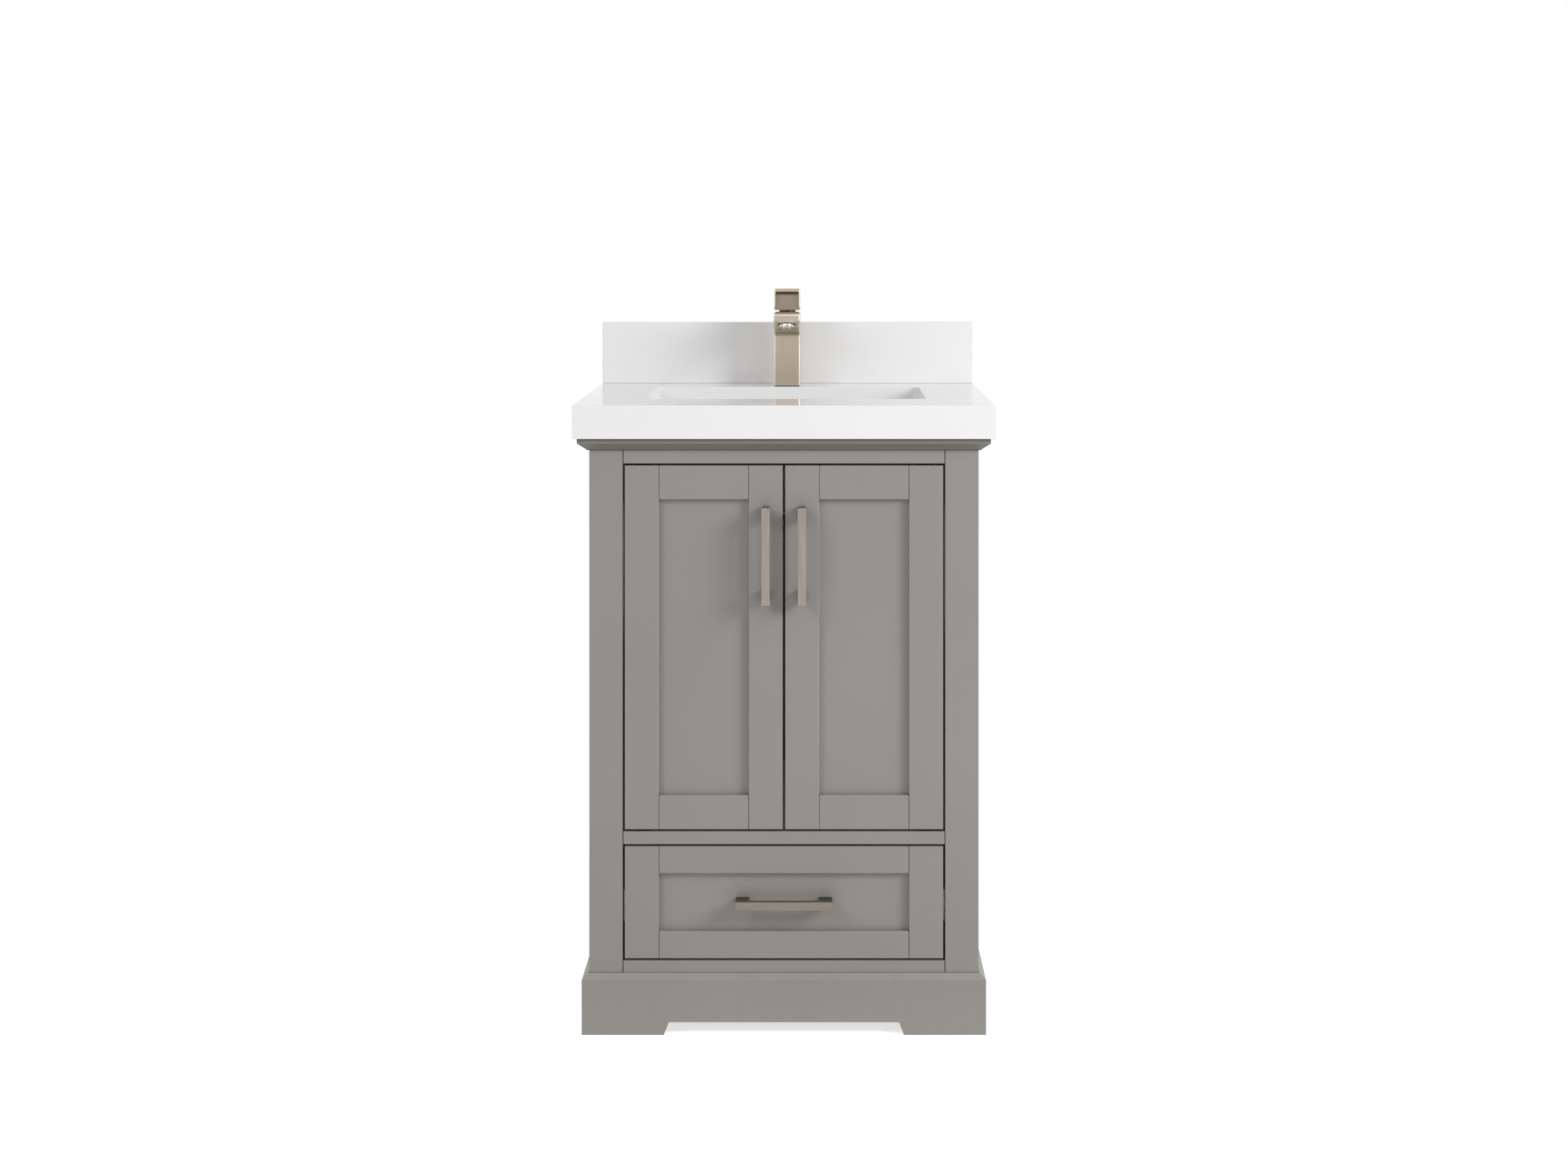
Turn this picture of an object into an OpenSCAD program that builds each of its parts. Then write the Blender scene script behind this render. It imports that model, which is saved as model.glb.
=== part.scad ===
// Bathroom vanity: a painted face-frame cabinet with two inset shaker doors over one inset
// drawer, a quartz counter with an undermount basin, and a single-hole mixer tap.
// Millimetres. X runs to the right, Y to the wall and Z up. The origin is on the floor,
// midway between the furthest points at the sides and at the front and back.

/* [Cabinet] */
// Width across the side panels
cabinet_w = 564; // [480:1:900]
// Depth from the front of the face frame to the back of the back panel
cabinet_d = 530; // [500:1:620]
// Gap between the cabinet's back and the wall
wall_gap = 6; // [0:0.5:15]
// Thickness of the side panels, floor and deck
board_t = 16; // [12:0.5:20]
// Thickness of the back panel
back_t = 6; // [3:0.5:9]
// Depth of the housings that hold the floor and the deck in the side panels
housing_d = 5; // [3:0.5:8]
// Depth of the rebates that hold the back panel in the side panels
rebate_d = 8; // [4:0.5:10]
// Height of the rail behind the sink that is screwed to the wall
wall_rail_h = 90; // [60:1:140]
// Thickness of the rail behind the sink
wall_rail_t = 18; // [12:0.5:22]
// Leg of the triangular blocks in the carcass's top corners
block_leg = 56; // [35:1:60]
// Half the width of the cut-out for the pipes
pipe_cut_x = 150; // [60:1:170]
// Radius of the corners of the cut-out for the pipes
pipe_cut_r = 20; // [5:1:40]
// Lowest edge of the cut-out for the pipes
pipe_cut_z = 520; // [350:1:540]
// Height of the cut-out for the pipes
pipe_cut_h = 280; // [150:1:300]
// Distance from the side panels to the screws that hold the rail to the wall
wall_screw_in = 60; // [30:1:120]
// Radius of the holes for the screws to the wall
wall_screw_r = 2.5; // [2:0.1:3]
// How far the cabinet's floor lies below the drawer's opening
floor_drop = 5.7; // [2:0.1:12]

/* [Face frame] */
// Thickness of the face frame
frame_t = 20; // [18:0.5:24]
// Width of the stiles
stile_w = 49; // [40:0.5:70]
// Height of the top rail
top_rail_h = 66; // [58:0.5:90]
// Height of the middle rail
middle_rail_h = 19.6; // [18:0.1:40]
// Height of the bottom rail
bottom_rail_h = 45.7; // [40:0.1:60]
// Height of the bottom rail's lower edge above the floor
bottom_rail_z = 60; // [45:1:70]
// Height of the drawer's opening
drawer_open_h = 167.1; // [160:0.1:220]
// Length of the tenons on the rails
tenon_l = 20; // [12:1:30]
// Thickness of the tenons on the rails
tenon_t = 8; // [6:0.5:10]
// Shoulder above and below each tenon
tenon_shoulder = 4; // [2:0.5:6]
// Room left at the end of each tenon
tenon_room = 0.5; // [0.2:0.1:2]
// Flat on every arris of the painted boards
ease = 0.6; // [0.2:0.1:1]

/* [Cornice and plinth] */
// Height of the cornice under the counter
cornice_h = 17.5; // [14:0.5:24]
// How far the cornice stands out
cornice_out = 16.5; // [14:0.5:19]
// Height of the upright face of the cornice
cornice_fascia = 7; // [4:0.5:9]
// Height of the cornice's slope
cornice_slope_h = 9.5; // [4:0.5:10]
// Flat ledge under the cornice's slope
cornice_ledge = 3.5; // [1:0.5:6]
// Height of the plinth
plinth_h = 88; // [80:0.5:100]
// Thickness of the plinth
plinth_t = 10; // [8:0.5:14]
// Height of the slope along the plinth's top
plinth_slope_h = 8; // [3:0.5:12]
// Flat left on top of the plinth behind its slope
plinth_flat = 1; // [0.5:0.1:4]
// Width of a foot where it meets the floor
foot_w = 118.5; // [90:0.5:150]
// Height of the cut-out between the feet
foot_h = 18.5; // [12:0.5:30]
// How much wider a foot is at the top of the cut-out
foot_slant = 7.3; // [0:0.1:15]

/* [Doors and drawer front] */
// Thickness of the doors and of the drawer front
front_t = 20; // [19:0.5:22]
// Gap beside a door or the drawer front
side_gap = 2.2; // [2:0.1:3]
// Gap above and below a door or the drawer front
end_gap = 2; // [1.6:0.1:3]
// Gap between the two doors
meeting_gap = 2.8; // [2:0.1:4]
// Width of the doors' stiles and rails
member_w = 49.5; // [45:0.5:60]
// Width of the drawer front's rails
drawer_rail_w = 39.5; // [32:0.5:45]
// Thickness of the flat panels
panel_t = 8; // [6:0.5:8.5]
// Depth of the recess in front of the panels
panel_recess = 9; // [7:0.5:9.5]
// Depth of the grooves that hold the panels
groove_d = 10; // [8:0.5:12]
// Room for a panel to move in its groove
panel_play = 0.5; // [0.3:0.1:0.9]

/* [Pulls] */
// Width of a pull's bar and posts
pull_bar = 12; // [8:0.5:14]
// Length of a pull
pull_l = 140; // [100:1:180]
// How far a pull stands out from the face that it is fixed to
pull_out = 32; // [28:0.5:40]
// Thickness of a pull's bar, front to back
pull_bar_d = 10.2; // [7:0.1:14]
// Distance from a door's top edge to the top of its pull
pull_drop = 59; // [55:1:120]

/* [Door pivots and catches] */
// Distance from a door's hinged edge to its pivot
pivot_in = 12; // [11.5:0.1:13]
// Distance from a door's face back to its pivot
pivot_back = 7; // [6.5:0.1:7.2]
// Radius of a pivot pin
pivot_r = 2.5; // [2:0.1:3]
// Clearance all round a turning pin
pin_fit = 0.05; // [0.03:0.01:0.08]
// Distance from a door's hinged edge to its pivot plates
plate_in = 3; // [2:0.5:4]
// Length of a pivot plate
plate_l = 36; // [25:1:37]
// Width of a pivot plate
plate_w = 10; // [9:0.5:11]
// Thickness of a pivot plate
plate_t = 2; // [1.5:0.1:2.5]
// Radius of the bush that a pin turns in
bush_r = 4.5; // [4:0.1:5]
// Depth of the bush that a pin turns in
bush_l = 9; // [7:0.5:10]
// Radius of the collar that a door stands on
collar_r = 4; // [3.5:0.1:4.5]
// Clearance between parts that stand free of each other
free_fit = 0.3; // [0.2:0.05:0.5]
// Width of a magnetic catch and its strike
catch_w = 30; // [20:1:36]
// Depth of a magnetic catch
catch_d = 15; // [12:0.5:20]
// How far a catch reaches up behind the top rail
catch_up = 21; // [14:0.5:30]
// Distance from a door's top edge to the middle of its strike
strike_drop = 11; // [8:0.5:20]
// Height of a strike
strike_h = 12; // [8:0.5:16]
// Thickness of a strike
strike_t = 0.8; // [0.5:0.1:1.2]

/* [Drawer box] */
// Thickness of the drawer box's sides and ends
box_t = 14; // [12:0.5:16]
// Height of the drawer box
box_h = 120; // [90:1:130]
// Length of the drawer box
box_l = 410; // [402:1:440]
// Height of the drawer box's lower edge above the bottom rail
box_lift = 14; // [8:1:20]
// Number of dovetails at each corner
tails = 4; // [2:1:6]
// Width of a dovetail pin at the end of the side
pin_w = 7; // [5:0.5:9]
// How much a dovetail spreads for each millimetre of its length
tail_spread = 0.17; // [0.1:0.01:0.2]
// Thickness of the drawer's bottom
bottom_t = 6; // [4:0.5:8]
// Depth of the groove that holds the drawer's bottom
bottom_groove_d = 6; // [4:0.5:8]
// Height of the drawer's bottom above the lower edge of its sides
bottom_up = 12; // [8:0.5:14]

/* [Drawer slides] */
// Length of each slide's members, and how far the drawer comes out
slide_l = 400; // [350:5:400]
// Distance from the back of the drawer front to the slides
slide_in = 1; // [0.5:0.5:5]
// Width of a closed slide
slide_w = 12.7; // [12.5:0.1:14]
// Height of a slide
slide_h = 45; // [42:0.5:50]
// Thickness of the slides' steel
slide_t = 1.2; // [1:0.1:1.3]
// Running clearance between the members of a slide
slide_play = 0.4; // [0.3:0.05:0.6]
// Height of a slide's middle member without its balls
middle_h = 32.4; // [31:0.1:35]
// Height of the member on the drawer
inner_h = 19.2; // [17:0.1:22]
// Gap between the webs of the outer and the middle member
web_gap = 2; // [1.5:0.1:2.5]
// How far the outer member's flanges stop short of the drawer
outer_short = 2.4; // [2:0.1:3]
// How far the middle member's flanges stop short of the drawer
middle_short = 2; // [1.6:0.1:2.5]
// Width of the flanges of the member on the drawer
inner_flange = 7.3; // [6:0.1:7.5]
// Width of the ball cages above and below the middle member
outer_cage_w = 5; // [3:0.5:6]
// Width of the ball cages inside the middle member
inner_cage_w = 4; // [3:0.1:4.5]
// Height of the rails that carry the slides
cleat_h = 60; // [52:1:80]

/* [Counter] */
// Height of the finished surface above the floor
surface_z = 910; // [860:1:950]
// How far the counter stands past the cabinet at the front and sides
counter_over = 23; // [22:0.5:31]
// Thickness of the stone
stone_t = 20; // [18:0.5:20]
// Height of the counter's edge, from its surface to the bottom of the aprons
edge_h = 48.5; // [40:0.5:60]
// Height of the backsplash
splash_h = 101; // [60:1:150]
// Flat on the backsplash's edges
stone_ease = 0.8; // [0.3:0.1:2]

/* [Basin] */
// Width of the cut-out for the basin
basin_w = 423; // [380:1:440]
// Depth of the cut-out for the basin, front to back
basin_d = 293; // [260:1:300]
// Clearance between the basin's rim and the nut that holds the tap
basin_tap_gap = 3; // [1:0.5:10]
// Radius of the cut-out's corners
cut_r = 14; // [6:1:30]
// Depth of the bowl
bowl_h = 145; // [110:1:160]
// Radius of the bowl's upright corners
bowl_r = 36; // [34:1:60]
// Radius where the bowl's walls meet its floor
bowl_floor_r = 30; // [20:1:33]
// How much the bowl's walls lean in over their height
bowl_draft = 8; // [2:1:14]
// Thickness of the basin's walls
basin_t = 9; // [7:0.5:12]
// Width of the rim that is held up against the stone
rim_w = 18; // [14:0.5:20]
// Thickness of the rim
rim_t = 12; // [9:0.5:15]
// Width of the clips that hold the rim up
clip_w = 18; // [12:1:24]
// Thickness of the clips
clip_t = 2; // [1.5:0.1:3]
// How far a clip reaches under the rim
clip_hold = 9; // [6:0.5:12]
// How far a clip reaches past the rim
clip_reach = 20; // [14:1:24]
// Distance from the sides of the cut-out to the clips
clip_in = 62; // [40:1:90]
// Radius of the studs that hold the clips
stud_r = 3; // [2.5:0.5:4]
// Length of a stud below the rim
stud_l = 8; // [6:1:14]
// Radius of the nuts on the studs, over their corners
clip_nut_r = 6; // [5:0.5:8]
// Thickness of the nuts on the studs
clip_nut_t = 4; // [3:0.5:5]

/* [Drain] */
// Radius of the hole in the basin
drain_hole_r = 22; // [21:0.5:24]
// Outer radius of the drain's threaded body
drain_r = 20; // [18.5:0.1:20.5]
// Thickness of the drain body's wall
drain_wall = 2.5; // [1.5:0.1:3]
// Radius of the drain's flange in the bowl
drain_flange_r = 32; // [28:0.5:35]
// Thickness of the drain's flange
drain_flange_t = 2.5; // [2:0.1:3.5]
// Length of the drain body below the bowl's floor
drain_l = 72; // [60:1:90]
// Thickness of the gasket under the bowl
gasket_ring_t = 4; // [2:0.5:6]
// Thickness of the drain's locknut
locknut_t = 8; // [5:0.5:12]
// Clearance round the drain's and the tap's threads
thread_fit = 0.05; // [0.02:0.01:0.1]
// Depth of the cross bar that guides the stopper, below the bowl's floor
spider_drop = 32; // [24:1:40]
// Height of the cross bar
spider_t = 6; // [4:0.5:10]
// Width of the cross bar
spider_w = 5; // [3:0.5:8]
// Wall round the stopper's stem at the middle of the cross bar
spider_wall = 3; // [2:0.5:4]
// Radius of the tailpiece
tail_r = 15.9; // [14:0.1:16]
// Thickness of the tailpiece's wall
tail_wall = 1.2; // [0.8:0.1:2]
// Length of the tailpiece below the drain body
tail_l = 120; // [90:1:150]
// Wall of the coupling between the drain body and the tailpiece
coupling_wall = 3; // [2:0.5:5]
// Length of the coupling below the drain body's end
coupling_under = 10; // [6:1:16]
// Length of the coupling above the drain body's end
coupling_over = 12; // [8:1:20]
// Radius of the stopper's cap
stopper_r = 24; // [22:0.5:26]
// Thickness of the stopper's cap
stopper_t = 4; // [3:0.5:6]
// Radius of the stopper's stem
stopper_stem_r = 4; // [3:0.1:5]
// Length of the stopper's stem below the cross bar
stopper_tail = 12; // [6:1:20]
// Flat round the edges of the stopper's cap
stopper_edge = 1; // [0.5:0.1:2]

/* [Tap] */
// Distance from the wall to the centre of the tap
tap_from_wall = 73; // [68:1:76]
// Width of the tap
tap_w = 41.5; // [38:0.5:48]
// Depth of the tap's column, front to back
column_d = 44; // [42:0.5:48]
// Height of the tap's column above its gasket
column_h = 118; // [100:1:160]
// Reach of the spout from the centre of the column
spout_reach = 122; // [90:1:130]
// Thickness of the spout at its tip
spout_t = 11; // [9:0.5:16]
// Length of the spout's nose, whose sloping underside carries the aerator
nose_l = 38; // [34:1:44]
// How far the nose's underside falls behind the tip
nose_drop = 11.4; // [7:0.1:14]
// How far the spout's underside falls from the tip to the column
throat_drop = 27.4; // [22:0.1:36]
// Radius of the hollow curve between the underside and the column
cove_r = 6; // [3:0.5:10]
// Radius of the aerator
aerator_r = 12; // [9:0.5:14]
// How far the aerator hangs under the spout
aerator_h = 10; // [6:0.5:14]
// Distance from the spout's tip to the aerator
aerator_in = 8; // [5:0.5:14]
// Wall round the aerator's mouth
aerator_lip = 2; // [1:0.5:3]
// Depth of the aerator's mouth
aerator_mouth = 3; // [2:0.5:6]
// Thickness of the gasket under the tap
gasket_t = 1; // [0.8:0.1:2]
// How far the gasket lies inside the column's edges, and the radius of its corners
gasket_in = 1; // [0.5:0.1:2]
// Radius of the hole in the stone
tap_hole_r = 17.5; // [17:0.1:18]
// Radius of the tap's threaded shank
shank_r = 16; // [15:0.1:16.5]
// Length of the shank below the stone
shank_l = 45; // [35:1:60]
// Radius of the washer and nut on the shank, over the nut's corners
tap_nut_r = 27; // [24:0.5:30]
// Thickness of the nut on the shank
tap_nut_t = 10; // [6:0.5:14]
// Thickness of the washer above that nut
tap_washer_t = 2; // [1:0.5:3]
// Radius of the inlets in the shank's end
inlet_r = 5; // [4:0.1:5.5]
// Distance between the inlets
inlet_pitch = 15; // [13:0.5:18]
// Depth of the inlets
inlet_l = 15; // [10:1:20]
// Radius of the neck that the handle turns on
neck_r = 13.5; // [13:0.1:16]
// Clearance between the neck's top and the handle
neck_fit = 0.4; // [0.3:0.1:1]
// Depth of the neck's socket in the column
neck_l = 12; // [8:1:20]
// Gap between the column and the handle
handle_gap = 4; // [2.5:0.1:5]
// Height of the handle
handle_h = 33.5; // [32:0.5:44]
// How far the handle reaches forward of the column's centre
handle_reach = 32; // [28:0.5:50]
// Thickness of the handle's cheeks
cheek_t = 2.5; // [2:0.1:4]
// Thickness of the handle's top
handle_top_t = 4; // [3:0.5:8]
// Height of the handle's pivot above its underside, and the radius of its rounded heel
heel_r = 10; // [9.5:0.5:12]
// Wall of the heel round the knuckle that it turns on, with their clearance
heel_wall = 3.5; // [3:0.1:5]
// Clearance between the handle and the knuckle and tongue inside it
knuckle_fit = 0.6; // [0.4:0.1:1]
// Depth of the hollow in the front of the handle, measured under its top
finger_d = 11; // [6:0.5:12]
// How much shallower that hollow is at the bottom
finger_slant = 2.6; // [1:0.1:4]
// Height of the cut-back toe at the front of the handle
toe_h = 6; // [3:0.5:9]
// How far the front of the handle leans back down to its toe
toe_back = 4; // [2:0.5:6]
// How far the toe is cut back to the handle's underside
toe_cut = 4; // [2:0.5:6]
// Depth, front to back, of the cavity in front of the knuckle
cavity_d = 16; // [15:0.5:18]
// Thickness of the tongue inside the handle
tongue_t = 16; // [10:0.5:18]
// How far forward of the knuckle the back of the tongue's foot lies
tongue_back = 6; // [4:0.5:8]
// How far forward of the knuckle the front of the tongue's foot lies
tongue_front = 14; // [12:0.5:15]
// How far forward the tongue reaches beside the knuckle
tongue_reach = 12; // [8:0.5:13]
// How far the pin stands out of the tongue on each side
pin_over = 4; // [2:0.5:6]
// Radius of the pin through the tongue
tongue_pin_r = 2.5; // [2:0.1:3]

/* [Hidden] */
$fn = 48;

// Finishes
paint = [0.57, 0.55, 0.52];
stone = [0.93, 0.93, 0.92];
china = [0.96, 0.96, 0.95];
nickel = [0.68, 0.63, 0.55];
steel = [0.72, 0.73, 0.74];
rubber = [0.12, 0.12, 0.12];
birch = [0.85, 0.74, 0.57];
ply = [0.80, 0.69, 0.53];

// Faces and centres across the cabinet
side_x = cabinet_w / 2;
side_in_x = side_x - board_t;
open_x = side_x - stile_w;
counter_x = side_x + counter_over;
front_reach = max(pull_out, counter_over);
face_y = front_reach - (front_reach + cabinet_d + wall_gap) / 2;
frame_back_y = face_y + frame_t;
back_y = face_y + cabinet_d;
back_in_y = back_y - back_t;
wall_y = back_y + wall_gap;
counter_front_y = face_y - counter_over;

// Levels
slab_z = surface_z - stone_t;
apron_z = surface_z - edge_h;
top_rail_z = slab_z - top_rail_h;
drawer_open_z = bottom_rail_z + bottom_rail_h;
middle_rail_z = drawer_open_z + drawer_open_h;
deck_z = middle_rail_z + middle_rail_h;
floor_z = drawer_open_z - floor_drop;

// Doors
door_w = open_x - side_gap - meeting_gap / 2;
door_x = -open_x + side_gap;
door_z = deck_z + end_gap;
door_top_z = top_rail_z - end_gap;
door_h = door_top_z - door_z;
front_back_y = face_y + front_t;
pivot_x = door_x + pivot_in;
pivot_y = face_y + pivot_back;

// Drawer front and box
drawer_front_z = drawer_open_z + end_gap;
drawer_front_h = drawer_open_h - 2 * end_gap;
drawer_front_x = open_x - side_gap;
box_x = open_x - slide_w;
box_z = drawer_open_z + box_lift;
box_back_y = front_back_y + box_l;
slide_z = box_z + box_h / 2;
slide_y = front_back_y + slide_in;

// Basin and drain
tap_y = wall_y - tap_from_wall;
basin_y = tap_y - tap_nut_r - basin_tap_gap - rim_w - basin_d / 2;
bowl_floor_z = slab_z - bowl_h;
basin_under_z = bowl_floor_z - basin_t;
drain_end_z = bowl_floor_z - drain_l;
drain_bore_r = drain_r - drain_wall;
spider_z = bowl_floor_z - spider_drop;

// Tap
tap_z = surface_z + gasket_t;
column_top_z = tap_z + column_h;
handle_z = column_top_z + handle_gap;
heel_forward = heel_r - column_d / 2;

// A rectangle with every corner cut off at 45 degrees
module cut_rect(w, h, e) {
    polygon([[e, 0], [w - e, 0], [w, e], [w, h - e], [w - e, h], [e, h], [0, h - e], [0, e]]);
}

// A board between two corners, with a small flat on each of its twelve edges
module board(low, high, e = ease) {
    size = high - low;
    translate(low) intersection() {
        linear_extrude(size.z) cut_rect(size.x, size.y, e);
        rotate([90, 0, 90]) linear_extrude(size.x) cut_rect(size.y, size.z, e);
        translate([0, size.y, 0]) rotate([90, 0, 0]) linear_extrude(size.y) cut_rect(size.x, size.z, e);
    }
}

// A plain block between two corners
module block(low, high) {
    translate(low) cube(high - low);
}

// What is drawn on the left, and its mirror image on the right
module both_sides() {
    children();
    mirror([1, 0, 0]) children();
}

// A rectangle with round corners, centred
module round_rect(w, d, r) {
    square([w - 2 * r, d], center = true);
    square([w, d - 2 * r], center = true);
    for (x = [-1, 1], y = [-1, 1])
        translate([x * (w / 2 - r), y * (d / 2 - r)]) circle(r);
}

// A ring with its foot at z
module ring(outer_r, inner_r, z, h) {
    translate([0, 0, z]) difference() {
        cylinder(r = outer_r, h = h);
        translate([0, 0, -1]) cylinder(r = inner_r, h = h + 2);
    }
}

// A moulding along the front: its section is drawn as distance out from the face and height
module front_moulding(reach) {
    run = 2 * (side_x + reach);
    intersection() {
        translate([-run / 2, face_y, 0]) mirror([0, 1, 0]) rotate([90, 0, 90])
            linear_extrude(run) children();
        linear_extrude(surface_z + 1) polygon([
            [-side_x - reach, face_y - reach], [side_x + reach, face_y - reach],
            [side_x, face_y], [-side_x, face_y]
        ]);
    }
}

// The same moulding along the left side, back to y_end
module left_moulding(reach, y_end) {
    intersection() {
        translate([-side_x, y_end, 0]) mirror([1, 0, 0]) rotate([90, 0, 0])
            linear_extrude(y_end - face_y + reach) children();
        linear_extrude(surface_z + 1) polygon([
            [-side_x - reach, face_y - reach], [-side_x, face_y],
            [-side_x, y_end], [-side_x - reach, y_end]
        ]);
    }
}

// The shape cut out between two feet that stand on the floor from u_low to u_high
module foot_cut(u_low, u_high) {
    polygon([
        [u_low + foot_w, -1], [u_high - foot_w, -1], [u_high - foot_w, 0],
        [u_high - foot_w - foot_slant, foot_h], [u_low + foot_w + foot_slant, foot_h],
        [u_low + foot_w, 0]
    ]);
}

// The same cut along the sides, through everything from x_low to x_high
module side_foot_cut(x_low, x_high) {
    translate([x_low, 0, 0]) rotate([90, 0, 90]) linear_extrude(x_high - x_low)
        foot_cut(face_y - plinth_t, back_y);
}

// ---- Carcass ----

module left_side_panel() {
    difference() {
        board([-side_x, frame_back_y, 0], [-side_in_x, back_y, slab_z]);
        for (top = [floor_z, deck_z])
            block(
                [-side_in_x - housing_d, frame_back_y - 1, top - board_t],
                [-side_in_x + 1, back_in_y, top]
            );
        block(
            [-side_in_x - rebate_d, back_in_y, floor_z - board_t],
            [-side_in_x + 1, back_y + 1, slab_z + 1]
        );
        side_foot_cut(-side_x - 1, -side_in_x + 1);
    }
}

module side_panel_left() {
    color(paint) left_side_panel();
}

module side_panel_right() {
    color(paint) mirror([1, 0, 0]) left_side_panel();
}

// A board across the carcass, housed in both side panels, with its top at the given level
module carcass_shelf(top) {
    block(
        [-side_in_x - housing_d, frame_back_y, top - board_t],
        [side_in_x + housing_d, back_in_y, top]
    );
}

module cabinet_floor() {
    color(ply) carcass_shelf(floor_z);
}

module drawer_deck() {
    color(ply) carcass_shelf(deck_z);
}

wall_screw_x = side_in_x - wall_screw_in;
wall_screw_z = slab_z - wall_rail_h / 2;

module wall_screw_holes() {
    for (x = [-wall_screw_x, wall_screw_x])
        translate([x, wall_y, wall_screw_z]) rotate([90, 0, 0])
            cylinder(r = wall_screw_r, h = wall_gap + back_t + wall_rail_t + 1);
}

module back_panel() {
    color(ply) difference() {
        block(
            [-side_in_x - rebate_d, back_in_y, floor_z - board_t],
            [side_in_x + rebate_d, back_y, slab_z]
        );
        translate([0, back_y + 1, pipe_cut_z + pipe_cut_h / 2]) rotate([90, 0, 0])
            linear_extrude(back_t + 2) round_rect(2 * pipe_cut_x, pipe_cut_h, pipe_cut_r);
        wall_screw_holes();
    }
}

module wall_rail() {
    color(ply) difference() {
        block([-side_in_x, back_in_y - wall_rail_t, slab_z - wall_rail_h], [side_in_x, back_in_y, slab_z]);
        wall_screw_holes();
    }
}

// Triangular blocks that brace the carcass and are screwed up into the stone's backing
module corner_blocks() {
    rear = back_in_y - wall_rail_t;
    color(ply) both_sides() translate([0, 0, slab_z - board_t]) linear_extrude(board_t) {
        polygon([
            [-side_in_x, frame_back_y], [-side_in_x + block_leg, frame_back_y],
            [-side_in_x, frame_back_y + block_leg]
        ]);
        polygon([[-side_in_x, rear], [-side_in_x + block_leg, rear], [-side_in_x, rear - block_leg]]);
    }
}

// Rails that bring the slides out flush with the drawer's opening
module slide_cleats() {
    color(ply) both_sides()
        block([-side_in_x, frame_back_y, slide_z - cleat_h / 2], [-open_x, back_in_y, slide_z + cleat_h / 2]);
}

// ---- Face frame ----

// The tenon of a rail, on the left, between the given levels
module rail_tenon(z_low, z_high, extra = 0) {
    middle = face_y + frame_t / 2;
    block(
        [-open_x - tenon_l - extra, middle - tenon_t / 2, z_low + tenon_shoulder],
        [-open_x + 1, middle + tenon_t / 2, z_high - tenon_shoulder]
    );
}

module frame_rail(z_low, z_high) {
    board([-open_x, face_y, z_low], [open_x, frame_back_y, z_high]);
    both_sides() rail_tenon(z_low, z_high);
}

module left_stile() {
    difference() {
        board([-side_x, face_y, 0], [-open_x, frame_back_y, slab_z]);
        rail_tenon(bottom_rail_z, drawer_open_z, tenon_room);
        rail_tenon(middle_rail_z, deck_z, tenon_room);
        rail_tenon(top_rail_z, slab_z, tenon_room);
    }
}

module stile_left() {
    color(paint) left_stile();
}

module stile_right() {
    color(paint) mirror([1, 0, 0]) left_stile();
}

module top_rail() {
    color(paint) difference() {
        frame_rail(top_rail_z, slab_z);
        both_sides() pivot_recess(top_rail_z, 1);
    }
}

module middle_rail() {
    color(paint) difference() {
        frame_rail(middle_rail_z, deck_z);
        both_sides() pivot_recess(deck_z, -1);
    }
}

module bottom_rail() {
    color(paint) frame_rail(bottom_rail_z, drawer_open_z);
}

// ---- Cornice and plinth ----

module cornice_section() {
    foot = cornice_h - cornice_fascia - cornice_slope_h;
    translate([0, apron_z - cornice_h]) polygon([
        [0, 0], [cornice_ledge, 0], [cornice_ledge, foot], [cornice_out, cornice_h - cornice_fascia],
        [cornice_out, cornice_h], [0, cornice_h]
    ]);
}

module cornice_front() {
    color(paint) front_moulding(cornice_out) cornice_section();
}

module cornice_sides() {
    color(paint) both_sides() left_moulding(cornice_out, back_y) cornice_section();
}

module plinth_section() {
    polygon([
        [0, 0], [plinth_t, 0], [plinth_t, plinth_h - plinth_slope_h],
        [plinth_flat, plinth_h], [0, plinth_h]
    ]);
}

module plinth_front() {
    color(paint) difference() {
        front_moulding(plinth_t) plinth_section();
        translate([0, face_y + 1, 0]) rotate([90, 0, 0]) linear_extrude(plinth_t + 2)
            foot_cut(-side_x - plinth_t, side_x + plinth_t);
    }
}

module plinth_sides() {
    color(paint) both_sides() difference() {
        left_moulding(plinth_t, back_y) plinth_section();
        side_foot_cut(-side_x - plinth_t - 1, -side_x + 1);
    }
}

// ---- Counter ----

module countertop() {
    color(stone) difference() {
        intersection() {
            translate([-counter_x, 0, 0]) rotate([90, 0, 90]) linear_extrude(2 * counter_x) polygon([
                [counter_front_y, surface_z], [wall_y, surface_z],
                [wall_y, slab_z], [counter_front_y + stone_t, slab_z]
            ]);
            translate([0, wall_y, 0]) rotate([90, 0, 0]) linear_extrude(wall_y - counter_front_y) polygon([
                [-counter_x, surface_z], [counter_x, surface_z],
                [counter_x - stone_t, slab_z], [-counter_x + stone_t, slab_z]
            ]);
        }
        translate([0, basin_y, slab_z - 1]) linear_extrude(stone_t + 2) round_rect(basin_w, basin_d, cut_r);
        translate([0, tap_y, slab_z - 1]) cylinder(r = tap_hole_r, h = stone_t + 2);
    }
}

// The section of an apron, mitred to the slab along its top
module apron_section() {
    polygon([
        [counter_over - stone_t, apron_z], [counter_over, apron_z],
        [counter_over, surface_z], [counter_over - stone_t, slab_z]
    ]);
}

module apron_front() {
    color(stone) front_moulding(counter_over) apron_section();
}

module apron_sides() {
    color(stone) both_sides() left_moulding(counter_over, wall_y) apron_section();
}

module backsplash() {
    color(stone) board(
        [-counter_x, wall_y - stone_t, surface_z],
        [counter_x, wall_y, surface_z + splash_h],
        stone_ease
    );
}

// ---- Basin and drain ----

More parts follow.
